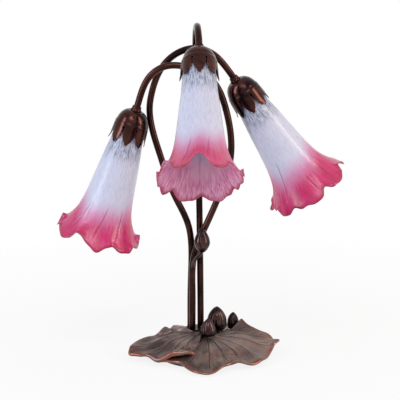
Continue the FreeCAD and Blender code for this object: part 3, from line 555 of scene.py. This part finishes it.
# %% Build one leaf cup
CALYX_RADIUS = 20.2
CALYX_LENGTH = 39.0
CROWN_LENGTH = 26.0
CALYX_TOP = 7.0
SHEET = 0.8
LEAVES = 8
SLIT_HOLE_S = 19.0
SLIT_HOLE_RADIUS = 1.3
SLIT_HALF = 0.5
VENT_S = 5.2
VENT_RADIUS = 1.0
LEAF_START = 24.0
LEAF_CUT = 7.6             # half the gap between two leaf tips, before they are rounded
GROOVE_S, BEAD_S = 12.5, 15.5     # a groove and a bead pressed round the crown


def cup_profile(s):
    """Radius of the cup's outside at s: domed crown, then nearly straight."""
    crown = np.sqrt(np.clip(1 - (1 - np.clip(s / CROWN_LENGTH, 0, 1)) ** 2, 0, 1))
    radius = CALYX_TOP + (CALYX_RADIUS - CALYX_TOP) * crown
    return radius - 0.35 * bump_at(s, GROOVE_S, 1.0) + 0.25 * bump_at(s, BEAD_S, 1.6)


def slit_gap(s):
    """Half width of the cut between two leaves."""
    hole = np.sqrt(np.clip(SLIT_HOLE_RADIUS ** 2 - (s - SLIT_HOLE_S) ** 2, 0, None))
    slit = np.where(s > SLIT_HOLE_S, SLIT_HALF, 0.0)
    share = np.clip((s - LEAF_START) / (CALYX_LENGTH - LEAF_START), 0, 1)
    leaf = LEAF_CUT * share ** 1.9 - 0.8 * share ** 5
    return np.maximum(hole, slit + leaf)


def vent_gap(s):
    """Half width of a vent hole."""
    return np.sqrt(np.clip(VENT_RADIUS ** 2 - (s - VENT_S) ** 2, 0, None))


def cup_rows():
    """Levels of the grid, closer together at the holes."""
    holes = [VENT_S + VENT_RADIUS * math.cos(k * math.pi / 6) for k in range(6, -1, -1)]
    lower = [VENT_S - VENT_RADIUS * math.cos(k * math.pi / 6) for k in range(0, 6)]
    slits = [SLIT_HOLE_S - SLIT_HOLE_RADIUS * math.cos(k * math.pi / 8) for k in range(0, 9)]
    even = [0, 0.4, 1, 2, 3, 3.6, 7.2, 8.5, 10, 11.5, 12.5, 13.5, 14.5, 15.5, 16.5, 17.2, 21.5]
    leaf = list(np.linspace(23, CALYX_LENGTH, 26))
    return np.array(sorted(set(round(v, 3) for v in even + lower + holes + slits + leaf)))


def build_cup(side):
    """One leaf cup from strips of half a leaf."""
    rows = cup_rows()
    share = np.linspace(0, 1, 9)
    half_leaf = math.pi / LEAVES
    parts, quads = [], []
    for k in range(2 * LEAVES):
        start, end = k * half_leaf, (k + 1) * half_leaf
        vent_first = k % 2 == 0
        radius = cup_profile(rows)
        first = (vent_gap(rows) if vent_first else slit_gap(rows)) / radius
        last = (slit_gap(rows) if vent_first else vent_gap(rows)) / radius
        low, high = start + first, end - last
        angle = low[:, None] + (high - low)[:, None] * share[None, :]
        middle = start if vent_first else end
        across = np.abs(angle - middle) / half_leaf
        down = ease(rows, 30, CALYX_LENGTH)[:, None]
        leaf_number = ((k + 1) // 2) % LEAVES
        bend = 1.0 + 0.5 * math.sin(leaf_number * 2.4 + len(side))
        crown = 0.5 * ease(rows, 22, 32)[:, None] * (1 - across ** 2) * (1 - 0.6 * down)
        r = radius[:, None] + crown + down ** 1.6 * (1.1 * bend)
        hang = rows[:, None] - down ** 2 * 0.9 * (across ** 2) * bend + 0 * angle
        grid = np.stack([r * np.cos(angle), r * np.sin(angle), hang], 2)
        quads.append(grid_quads(len(rows), len(share)) + len(parts) * len(rows) * len(share))
        parts.append(grid)
    points = on_head(side, np.concatenate([p.reshape(-1, 3) for p in parts]))
    piece = make_piece(
        "leaf_cup_" + side, points, np.concatenate(quads), "root",
        ["calyx_" + side],
    )
    weld = piece.modifiers.new("join strips", "WELD")
    weld.merge_threshold = 0.02 * MM
    sheet = piece.modifiers.new("sheet", "SOLIDIFY")
    sheet.thickness = SHEET * MM
    sheet.offset = 1
    sheet.use_even_offset = True
    wear(piece, calyx_finish)


for side in HEADS:
    build_cup(side)

# %% [markdown]
# ## Collars
# A small turned collar closes the gap where a stem enters its leaf cup. It tapers towards the stem
# and its end covers the threaded nipple inside it. It's turned round the head's axis.

# %% Turn the collars
COLLAR = [(4.3, -6.3), (5.0, -6.35), (5.45, -6.1), (5.4, -4.6), (5.6, -3.2), (6.3, -2.2), (6.5, -1.1),
          (6.5, -0.1), (5.3, -0.1)]     # (radius, s) of its outline
COLLAR_COLUMNS = 64


def build_collar(side):
    outline = pulled(COLLAR, 34)
    turn = np.arange(COLLAR_COLUMNS) * 2 * np.pi / COLLAR_COLUMNS
    radius, level = outline[:, :1], outline[:, 1:]
    grid = np.stack([radius * np.cos(turn), radius * np.sin(turn), level + 0 * turn], 2)
    quads = grid_quads(len(grid), COLLAR_COLUMNS, around=True, along=True)[:, ::-1]
    points = on_head(side, grid)
    piece = make_piece("collar_" + side, points, quads, "root", ["arm_collar_" + side])
    wear(piece, stem_finish)


for side in HEADS:
    build_collar(side)

# %% [markdown]
# ## Buds
# The buds are cast: eggs with petals folded over one another, which shows as lengthwise grooves
# that run to the tip. A bud is a turned egg whose radius drops sharply along each groove.

# %% Bud finish
def bud_bronze():
    f, colour, gloss = patina("bud_bronze", (0.022, 0.014, 0.017), (0.100, 0.056, 0.048), 50.0, 0.16)
    colour = f.blend(f.mark("groove"), colour, (0.006, 0.003, 0.003))
    return f.end(colour, gloss)


bud_finish = bud_bronze()

# %% [markdown]
# ## Shaping the buds
# The three buds of the foot can be cast one by one and fixed on it from below. They differ in
# outline and in how many petals show, so each has its own few values. Its size and place are the
# CAD bud's.

# %% Build the buds
BUD_SHAPES = {
    "egg": [(1.0, 0.06), (1.06, 0.26), (0.98, 0.56), (0.66, 0.80), (0.24, 0.97)],
    "cone": [(1.0, 0.04), (1.06, 0.22), (0.88, 0.52), (0.56, 0.78), (0.20, 0.97)],
    "lemon": [(0.55, 0.05), (1.00, 0.26), (1.10, 0.44), (0.86, 0.68), (0.42, 0.90), (0.12, 0.99)],
}


def bud_grid(height, radius, foot, grooves, depth, twist, seed, shape="egg"):
    """Points, quads and groove marks of one bud that stands at the origin."""
    around, rows = 144, 48
    t = np.linspace(0, 1, rows)
    shares = BUD_SHAPES[shape]
    egg = pulled([(foot, 0)] + [(radius * a, height * b) for a, b in shares] + [(0.01, height)], rows)
    turn = np.arange(around) * 2 * np.pi / around
    bend = twist * np.sin(t * np.pi * 0.9)[:, None]
    phase = (turn[None, :] + bend) * grooves / 2 + seed + 0.25 * np.sin(turn * 2 + seed)[None, :]
    valley = np.exp(-((np.sin(phase)) / 0.13) ** 2)
    fade = (ease(t, 0.02, 0.2) * (1 - ease(t, 0.93, 1.0)))[:, None]
    belly = 0.04 * np.cos(phase * 2)
    r = egg[:, 0, None] * (1 - (depth * valley + belly * depth * 4) * fade)
    grid = np.stack([r * np.cos(turn), r * np.sin(turn), egg[:, 1, None] + 0 * r], 2)
    return grid, grid_quads(rows, around, around=True), valley * fade


def end_caps(rows, around, start=0):
    """The two flat ends of a round grid whose first point has the number start."""
    last = start + (rows - 1) * around
    return [tuple(range(start + around - 1, start - 1, -1)), tuple(range(last, last + around))]


BUDS = {
    "bud_front": dict(grooves=7, depth=0.07, twist=0.10, seed=0.7, shape="cone"),
    "bud_tall": dict(grooves=9, depth=0.08, twist=0.08, seed=1.6),
    "bud_small": dict(grooves=7, depth=0.08, twist=0.10, seed=0.3),
}


def build_bud(node):
    low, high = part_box(node)
    centre = (low + high) / 2
    radius = (high.x - low.x) / 2 / MM
    grid, quads, valley = bud_grid((high.z - low.z) / MM, radius, radius * 0.8, **BUDS[node])
    points = grid * MM + np.array((centre.x, centre.y, low.z))
    ends = end_caps(*grid.shape[:2])
    piece = make_piece("cast_" + node, points, quads, "root", [node],
                       {"groove": valley.ravel()}, ends)
    wear(piece, bud_finish)


for node in BUDS:
    build_bud(node)

# %% [markdown]
# ## The bud on the stems
# This bud grows on a short stalk that leaves the front stem. Bud and stalk are one casting here,
# as in the CAD model, so the stalk is a tube that is drawn along a few points and ends in the bud.

# %% Stem bud
STEM_BUD_MIDDLE = (-1.6, -8.6, 145.5)
STEM_BUD_RADIUS = 9.2
STEM_BUD_HEIGHT = 31.0
STALK = [(-12.9, -0.3, 108), (-12.7, -0.3, 113), (-11.2, -0.9, 118), (-8.0, -3.2, 123),
         (-4.4, -6.6, 127), (-1.8, -8.4, 131.5), (-1.6, -8.6, 134)]
STALK_RADIUS = 2.2
STALK_ROWS = 40


def tube_grid(path, radii, around=24):
    """Grid of a round tube along a path of points, with a radius for each."""
    path = np.asarray(path, float)
    ahead = np.gradient(path, axis=0)
    ahead /= np.linalg.norm(ahead, axis=1)[:, None]
    side_way = np.cross(ahead, (0.1, 1.0, 0.05))
    side_way /= np.linalg.norm(side_way, axis=1)[:, None]
    other = np.cross(ahead, side_way)
    turn = np.arange(around) * 2 * np.pi / around
    cosine, sine = np.cos(turn)[None, :, None], np.sin(turn)[None, :, None]
    ring = side_way[:, None, :] * cosine + other[:, None, :] * sine
    return path[:, None, :] + ring * np.asarray(radii)[:, None, None]


def build_stem_bud():
    grid, quads, valley = bud_grid(STEM_BUD_HEIGHT, STEM_BUD_RADIUS, 2.0, 5, 0.05, 0.3, 0.9, "lemon")
    middle = np.array(STEM_BUD_MIDDLE)
    grid = grid + middle - (0, 0, STEM_BUD_HEIGHT / 2)
    path = pulled(STALK, STALK_ROWS)
    swell = STALK_RADIUS * (1 + 0.5 * ease(np.linspace(0, 1, STALK_ROWS), 0.75, 1.0))
    swell[:3] *= (0.55, 0.85, 0.97)
    stalk = tube_grid(path, swell)
    start = grid.reshape(-1, 3).shape[0]
    stalk_quads = grid_quads(len(stalk), stalk.shape[1], around=True) + start
    ends = end_caps(*grid.shape[:2]) + end_caps(*stalk.shape[:2], start)
    grooves = np.concatenate([valley.ravel(), np.zeros(stalk.shape[0] * stalk.shape[1])])
    points = np.concatenate([grid.reshape(-1, 3), stalk.reshape(-1, 3)]) * MM
    piece = make_piece(
        "cast_stem_bud", points, np.concatenate([quads, stalk_quads]), "root",
        ["stem_bud"], {"groove": grooves}, ends,
    )
    wear(piece, bud_finish)


build_stem_bud()

# %% [markdown]
# ## Lily pads
# Each pad is a thin casting that spreads from a hub and drops in waves to its edge. Its outline is
# close to the CAD pad's: rays from the hub, each with an angle, a reach and a height at the edge.
# What is added is what makes it a leaf: veins that fork on their way out, the low folds between them, and
# an edge that is rolled over to a round bead. The bead is painted copper red, partly as wear and partly
# as a painted highlight.

# %% Pad finish
def pad_bronze():
    f, colour, gloss = patina(
        "pad_bronze", (0.100, 0.072, 0.068), (0.250, 0.165, 0.135), 20.0, 0.31,
        grain=1400.0, depth=0.00006, metal=0.75,
    )
    colour = f.blend(f.mark("vein"), colour, (0.018, 0.008, 0.007))
    patchy = f.ramp(f.noise(f.place(), 60.0), 0.35, 0.65, 0.1, 0.9)
    # Copper red along the edge, in patches: partly rubbed wear, partly a painted highlight on the rolled bead.
    worn_and_lit_edge = f.combine(f.mark("edge"), patchy, "MULTIPLY")
    colour = f.blend(worn_and_lit_edge, colour, (0.24, 0.062, 0.036))
    return f.end(colour, gloss)


pad_finish = pad_bronze()

# %% [markdown]
# ## Outlines of the pads
# On the real lamp a modeller shapes each pad by hand before it is cast, so they follow no formula.
# Each pad keeps its own short lists: where its edge goes, where its veins start and end, where the
# edge rolls up or down, and where it is rolled under to a thick bead.

# %% Pad outlines
PADS = {
    "right": {
        "hub": (4.5, -13.0, 25.0),
        "points": [(3, 2.4, 6.0), (44, 4, 2.0)],
        "edge": [
            (44, 58, 31), (32, 63, 26), (20, 76, 21), (5, 85, 16), (-9, 77, 10), (-24, 75, 6.5),
            (-40, 73, 5), (-54, 59, 8.5), (-66, 58, 9), (-78, 66, 5), (-91, 74, 2.4),
            (-103, 70, 4.5), (-118, 56, 9.5), (-130, 53, 9.5), (-145, 66, 4),
        ],
        "veins": [(38, 34), (24, 14), (6, -4), (-18, -30), (-40, -47), (-62, -64), (-86, -88),
                  (-108, -120)],
    },
    "left": {
        "hub": (-1.0, -8.0, 28.5),
        "points": [(193, 3.0, 3.0)],
        "edge": [
            (160, 49, 25), (169, 63, 21), (177, 78, 17), (184, 87, 13), (192, 90, 8.5),
            (199, 80, 7.5), (208, 72, 7.5), (216, 68, 8), (226, 62, 12), (238, 52, 19),
            (250, 45, 20.5), (260, 43, 20),
        ],
        "veins": [(170, 176), (186, 190), (200, 208), (218, 224), (238, 234)],
    },
    "rear": {
        "hub": (6.0, 20.0, 23.0),
        "points": [],
        "edge": [
            (8, 44, 19), (30, 50, 16), (55, 50, 13), (80, 45, 15), (100, 45, 15), (122, 50, 13),
            (148, 46, 19), (170, 44, 25), (187, 48, 24.5),
        ],
        "veins": [(24, 22), (48, 44), (72, 70), (98, 100), (122, 126), (148, 150), (174, 176)],
    },
}
# Rolls and curls of the edge: (angle, its spread, lift in mm, shares of the reach where it grows).
ROLLS = {
    "right": [(44, 7, 3.5, 0.65, 0.95), (3, 3.5, 4.0, 0.86, 1.0), (-54, 9, 3.0, 0.7, 1.0),
              (-145, 8, 3.0, 0.3, 0.8)],
    "left": [(193, 3, -2.5, 0.85, 1.0), (160, 5, 5.5, 0.15, 0.50), (166, 4, -2.5, 0.70, 1.0),
             (188, 5, 2.5, 0.8, 1.0), (206, 6, 3.0, 0.6, 1.0), (232, 6, 2.0, 0.5, 1.0),
             (260, 8, -4.0, 0.2, 0.9)],
    "rear": [(148, 8, 2.0, 0.5, 1.0), (187, 7, -3.0, 0.3, 0.9), (60, 12, 2.0, 0.6, 1.0)],
}
# Where the edge is rolled under to a thick bead: (angle, its spread, how deep in mm).
SKIRTS = {
    "right": [(-56, 16, 1.6), (-118, 14, 2.4), (-20, 14, 0.8)],
    "left": [(226, 15, 4.6), (250, 12, 3.0), (196, 10, 1.2)],
    "rear": [(187, 12, 3.0), (100, 40, 1.0)],
}
# Each vein and its two forks: (share of the reach where it leaves, strength, degrees it swings away).
FORKS = [(0.0, 1.0, 0.0), (0.50, 0.6, 6.5), (0.66, 0.6, -6.0)]
VEIN_HALF = 0.55                  # half width of a vein's dark line
BANK_HALF = 3.2                   # and of the bank that it runs on
PAD_THICK = 2.2
PAD_FALL = 2.0                    # how late a pad drops on its way out: 1 is a cone
PAD_ROWS = 76
COLUMNS_PER_MM = 5.2              # columns for each millimetre of a pad's mean reach
LIP_ROWS = 5
LIP_OUT = 1.2                     # how far the round edge stands out
BLOCK_X, BLOCK_Y = -10.3, 11.6    # middle of the socket block
BLOCK_CLEAR = 13.5                # radius round it that the pads leave free

# %% [markdown]
# ## Shaping the pads
# A pad is a casting about two millimetres thick with a rounded edge. Its top is laid out first, the
# veins and folds are added to its height, and the underside is the same skin lowered, so the
# thickness stays even. The pads end round the block that carries the stems.

# %% Build one pad
def pad_rays(pad, columns, shares):
    """Grid of points of a pad's smooth top, rows from hub to edge and columns along the edge."""
    hub = np.array(pad["hub"])
    edge = pulled(pad["edge"], columns)
    turn = np.radians(edge[:, 0])
    rows = []
    for share in shares:
        reach = edge[:, 1].copy()
        for degree, spread, longer in pad["points"]:
            reach += longer * bump_at(edge[:, 0], degree, spread) * ease(share, 0.80, 1.0)
        x = hub[0] + reach * share * np.cos(turn)
        y = hub[1] + reach * share * np.sin(turn)
        z = hub[2] + (edge[:, 2] - hub[2]) * share ** PAD_FALL
        rows.append(np.stack([x, y, z], 1))
    return np.array(rows), edge


def vein_relief(pad, edge, shares):
    """(height of the relief in mm, darkness of the veins) on the pad's grid."""
    reach = edge[:, 1][None, :] * shares[:, None]
    degrees = edge[:, 0][None, :]
    lift = np.zeros_like(reach)
    dark = np.zeros_like(reach)
    for (start, end), (fork, strength, away) in itertools.product(pad["veins"], FORKS):
        out = np.clip((shares[:, None] - fork) / (1 - fork), 0, 1)
        base = start + (end - start) * shares[:, None] ** 1.6 + away * out ** 0.8
        across = (degrees - base) * np.pi / 180 * reach
        fade = ease(shares[:, None], fork, fork + 0.08) * (1 - ease(shares[:, None], 0.86, 0.97))
        line = bump_at(across, 0, VEIN_HALF) * fade * strength
        bank = bump_at(across, 0, BANK_HALF) * fade * strength
        lift += 0.75 * bank - 0.80 * line
        dark = np.maximum(dark, line)
    return lift, dark


def folds(side, pad, edge, shares):
    """Height in mm of the broad folds of a pad: scallops, a dished zone and an edge turned up."""
    t, degrees = shares[:, None], edge[:, 0][None, :]
    height = -2.6 * bump_at(t, 0.76, 0.14) + 1.6 * ease(t, 0.86, 1.0)
    middles = [(a[0] + b[0]) / 2 for a, b in zip(pad["veins"], pad["veins"][1:])]
    for k, middle in enumerate(middles):
        rise = 1.5 + 0.7 * math.sin(3 * k + len(side))
        height = height + rise * bump_at(degrees, middle, 7.0) * t ** 1.5
    for degree, width, lift, inner, outer in ROLLS[side]:
        height = height + lift * bump_at(degrees, degree, width) * ease(t, inner, outer)
    return height * (1 - 0.75 * ease(0.30 - t, 0, 0.25))


def build_pad(side):
    pad = PADS[side]
    mean_reach = sum(point[1] for point in pad["edge"]) / len(pad["edge"])
    columns = int(mean_reach * COLUMNS_PER_MM)
    shares = np.linspace(0.03, 1, PAD_ROWS)
    top, edge = pad_rays(pad, columns, shares)
    lift, dark = vein_relief(pad, edge, shares)
    near_edge = ease(shares, 0.94, 1.0)[:, None]
    top[:, :, 2] += lift * (1 - near_edge) + folds(side, pad, edge, shares)
    under = top.copy()
    skirt = sum(deep * bump_at(edge[:, 0], degree, width) for degree, width, deep in SKIRTS[side])
    under[:, :, 2] -= PAD_THICK + skirt[None, :] * ease(shares, 0.84, 1.0)[:, None]
    outward = (top[-1] - top[-3]) / np.linalg.norm(top[-1] - top[-3], axis=1)[:, None]
    lip = []
    middle = (top[-1] + under[-1]) / 2
    bulge = outward * (LIP_OUT + 0.3 * skirt[:, None])
    for k in range(1, LIP_ROWS + 1):
        angle = math.pi * k / (LIP_ROWS + 1)
        lip.append(middle + bulge * math.sin(angle) + (top[-1] - middle) * math.cos(angle))
    grid = np.concatenate([top, lip, under[::-1]])
    rows = len(grid)
    # Mark for the copper edge colour, partly wear and partly painted highlight: full on the lip, 0.6 below it.
    worn_and_lit_edge = near_edge * np.ones(columns)
    worn_and_lit_edge_mark = np.concatenate([worn_and_lit_edge, np.ones((LIP_ROWS, columns)), worn_and_lit_edge[::-1] * 0.6])
    vein_mark = np.concatenate([dark, np.zeros((LIP_ROWS + PAD_ROWS, columns))])
    quads = grid_quads(rows, columns, along=True)
    ends = []
    for column in (0, columns - 1):
        loop = [r * columns + column for r in range(rows)]
        half = len(loop) // 2
        for i in range(half - 1):
            face = (loop[i], loop[i + 1], loop[rows - 2 - i], loop[rows - 1 - i])
            ends.append(face if column == 0 else face[::-1])
    points = clear_block(grid) * MM
    piece = make_piece("cast_pad_" + side, points, quads, "root", ["lily_pad_" + side],
                       {"edge": worn_and_lit_edge_mark.ravel(), "vein": vein_mark.ravel()}, ends)
    wear(piece, pad_finish)


def clear_block(grid):
    """Push points out of the socket block, so the pad ends round it."""
    away = grid[:, :, :2] - np.array((BLOCK_X, BLOCK_Y))
    distance = np.linalg.norm(away, axis=2)
    short = np.clip(BLOCK_CLEAR / np.maximum(distance, 0.1), 1, None)
    grid[:, :, :2] = np.array((BLOCK_X, BLOCK_Y)) + away * short[:, :, None]
    return grid


for side in PADS:
    build_pad(side)

# %% [markdown]
# ## Finishes of the pieces that CAD already has right
# The stems, block, foot, lampholders, rings, bulbs and fasteners have their final shape in the CAD
# model. Each keeps it and only gets a finish. The finishes are grouped by slot, and a table
# of slot to finish puts them on the nodes that the record lists.

# %% Finishes of the hidden and small pieces
def brushed_metal(name, colour, rough, stretch):
    """Turned or drawn metal with fine tool marks."""
    f = Finish(name, Metallic=1.0)
    where = f.place(stretch)
    marks = f.noise(where, 1.0, 4.0, 0.7)
    stain = f.noise(f.place(), 55.0, 3.0)
    f.relief(marks, 0.00002, 0.5)
    darker = tuple(c * 0.72 for c in colour)
    stained = f.blend(f.ramp(stain, 0.35, 0.7), darker, colour)
    return f.end(stained, f.ramp(marks, 0.3, 0.7, rough * 0.8, rough * 1.3))


def moulded(name, colour, rough, grain=1500.0):
    """Moulded plastic with a fine spark-eroded grain."""
    f = Finish(name)
    where = f.place()
    fine = f.noise(where, grain, 2.0)
    cloud = f.noise(where, 45.0, 3.0)
    f.relief(fine, 0.00003, 0.5)
    lighter = tuple(min(1, c * 1.25 + 0.004) for c in colour)
    return f.end(f.blend(cloud, colour, lighter), f.ramp(fine, 0.3, 0.7, rough * 0.85, rough * 1.2))


def felt_cloth():
    """Dark pressed felt with loose fibres."""
    f = Finish("felt", Sheen_Weight=0.4, Sheen_Roughness=0.6)
    where = f.place()
    fibre = f.noise(where, 1100.0, 5.0, 0.75, 1.5)
    cloud = f.noise(where, 70.0, 3.0)
    f.relief(fibre, 0.0003, 0.9)
    colour = f.blend(f.ramp(fibre, 0.3, 0.7), (0.012, 0.010, 0.010), (0.055, 0.048, 0.046))
    return f.end(f.blend(f.combine(cloud, 0.3, "MULTIPLY"), colour, (0.02, 0.018, 0.02)), 0.95)


def bulb_opal():
    """Frosted glass of an unlit bulb."""
    f = Finish("bulb_glass", IOR=1.5, Subsurface_Weight=0.5, Subsurface_Radius=(1, 0.9, 0.8),
               Subsurface_Scale=0.005)
    cloud = f.noise(f.place(), 120.0, 3.0)
    return f.end(f.blend(cloud, (0.80, 0.79, 0.74), (0.90, 0.89, 0.86)), f.ramp(cloud, 0.3, 0.7, 0.28, 0.42))


FINISHES = {
    "felt": felt_cloth(),
    "foot_black": moulded("foot_black", (0.012, 0.010, 0.010), 0.5, 700.0),
    "cover_steel": brushed_metal("cover_steel", (0.10, 0.10, 0.105), 0.45, (900, 60, 900)),
    "screw_steel": brushed_metal("screw_steel", (0.55, 0.55, 0.57), 0.3, (900, 900, 200)),
    "nylon_black": moulded("nylon_black", (0.018, 0.018, 0.019), 0.45),
    "brass": brushed_metal("brass", (0.30, 0.19, 0.08), 0.32, (200, 200, 1600)),
    "socket_bronze": socket_finish,
    "stem_bronze": stem_finish,
    "phenolic": moulded("phenolic", (0.020, 0.016, 0.015), 0.32),
    "ring_plastic": moulded("ring_plastic", (0.025, 0.024, 0.024), 0.38),
    "shell_brass": brushed_metal("shell_brass", (0.78, 0.56, 0.26), 0.22, (200, 200, 1600)),
    "bulb_glass": bulb_opal(),
    "bulb_cap": brushed_metal("bulb_cap", (0.78, 0.78, 0.76), 0.24, (300, 300, 2500)),
    "lead_pvc": moulded("lead_pvc", (0.045, 0.028, 0.020), 0.4),
    "connector_plastic": moulded("connector_plastic", (0.62, 0.17, 0.03), 0.35),
}
for part in frame["record"]["subparts"]:
    if part["material_slot"] in FINISHES:
        wear(frame["nodes"][part["node"]], FINISHES[part["material_slot"]])
print(len(FINISHES), "finishes on CAD nodes")

# %% [markdown]
# ## Floor, light and camera
# The photograph is a cut-out on white with soft light from both sides: cool from the left and warm
# from the right. Two large soft lamps and a paler one in front give that. The floor and the
# background turn white only for camera, mirror and glass rays, so no extra light falls on the lamp,
# and the floor still keeps its soft shadow.

# %% Floor and background
def white_rays(tree):
    """1 for rays that see the background directly, in a mirror or through glass."""
    path = tree.nodes.new("ShaderNodeLightPath")
    seen = path.outputs["Is Camera Ray"]
    for name in ("Is Glossy Ray", "Is Transmission Ray"):
        either = tree.nodes.new("ShaderNodeMath")
        either.operation = "MAXIMUM"
        tree.links.new(seen, either.inputs[0])
        tree.links.new(path.outputs[name], either.inputs[1])
        seen = either.outputs[0]
    return seen


FLOOR_HALF = 12.0
WORLD_LEVEL = 0.38        # light of the surroundings on the lamp


def lay_floor():
    """A large matt floor that fades to pure white away from the lamp."""
    mesh = bpy.data.meshes.new("floor")
    corners = [(x * FLOOR_HALF, y * FLOOR_HALF, 0) for x, y in ((-1, -1), (1, -1), (1, 1), (-1, 1))]
    mesh.from_pydata(corners, [], [(0, 1, 2, 3)])
    floor = bpy.data.objects.new("floor", mesh)
    bpy.context.scene.collection.objects.link(floor)
    material = bpy.data.materials.new("floor_white")
    material.use_nodes = True
    tree = material.node_tree
    shader = tree.nodes["Principled BSDF"]
    shader.inputs["Base Color"].default_value = (0.86, 0.86, 0.86, 1)
    shader.inputs["Roughness"].default_value = 0.9
    glow = tree.nodes.new("ShaderNodeEmission")
    glow.inputs["Strength"].default_value = 1.0
    mix = tree.nodes.new("ShaderNodeMixShader")
    where = tree.nodes.new("ShaderNodeTexCoord")
    far = tree.nodes.new("ShaderNodeVectorMath")
    far.operation = "LENGTH"
    fade = tree.nodes.new("ShaderNodeMapRange")
    share = tree.nodes.new("ShaderNodeMath")
    share.operation = "MULTIPLY"
    tree.links.new(where.outputs["Object"], far.inputs[0])
    tree.links.new(far.outputs["Value"], fade.inputs["Value"])
    for name, value in (("From Min", 0.2), ("From Max", 0.7), ("To Min", 0.85), ("To Max", 1.0)):
        fade.inputs[name].default_value = value
    tree.links.new(white_rays(tree), share.inputs[0])
    tree.links.new(fade.outputs[0], share.inputs[1])
    tree.links.new(share.outputs[0], mix.inputs[0])
    tree.links.new(shader.outputs[0], mix.inputs[1])
    tree.links.new(glow.outputs[0], mix.inputs[2])
    tree.links.new(mix.outputs[0], tree.nodes["Material Output"].inputs["Surface"])
    mesh.materials.append(material)


def light_world(level):
    """A white surrounding that is dimmer for the light it casts than for the eye."""
    world = bpy.data.worlds.new("studio")
    world.use_nodes = True
    bpy.context.scene.world = world
    tree = world.node_tree
    back = tree.nodes["Background"]
    strength = tree.nodes.new("ShaderNodeMapRange")
    tree.links.new(white_rays(tree), strength.inputs["Value"])
    strength.inputs["To Min"].default_value = level
    strength.inputs["To Max"].default_value = 1.0
    tree.links.new(strength.outputs[0], back.inputs["Strength"])
    back.inputs["Color"].default_value = (1, 1, 1, 1)


lay_floor()
light_world(WORLD_LEVEL)

# %% [markdown]
# ## Lamps and camera
# In a studio the lamp would stand between two tall soft boxes, which leave the long highlights on
# the stems and cups. The camera's place, tilt and lens follow from the ellipses of the foot and of
# the mouths of the shades in the photograph.

# %% Lamps and camera
def soft_lamp(name, place, aim, size, power, colour):
    data = bpy.data.lights.new(name, "AREA")
    data.shape = "RECTANGLE"
    data.size, data.size_y = size
    data.energy = power
    data.color = colour
    lamp = bpy.data.objects.new(name, data)
    lamp.location = place
    lamp.rotation_euler = (Vector(aim) - Vector(place)).to_track_quat("-Z", "Y").to_euler()
    bpy.context.scene.collection.objects.link(lamp)


LAMP_MIDDLE = (0, 0, 0.2)
soft_lamp("cool_left", (-1.3, -0.7, 0.75), LAMP_MIDDLE, (0.35, 1.3), 11.5, (0.78, 0.88, 1.0))
soft_lamp("warm_right", (1.3, -0.5, 0.75), LAMP_MIDDLE, (0.35, 1.3), 11.5, (1.0, 0.90, 0.80))
soft_lamp("front_top", (0.0, -1.3, 1.7), LAMP_MIDDLE, (1.0, 0.6), 9, (1.0, 1.0, 1.0))

CAMERA_PLACE = (-0.004, -1.3252, 0.4506)
CAMERA_TILT = 79.0        # degrees up from straight down
CAMERA_LENS = 101.0

camera_data = bpy.data.cameras.new("camera")
camera_data.lens = CAMERA_LENS
camera_data.sensor_width = 36.0
camera = bpy.data.objects.new("camera", camera_data)
camera.location = CAMERA_PLACE
camera.rotation_euler = (math.radians(CAMERA_TILT), 0, 0)
bpy.context.scene.collection.objects.link(camera)
bpy.context.scene.camera = camera
bpy.context.scene.view_settings.view_transform = "Standard"
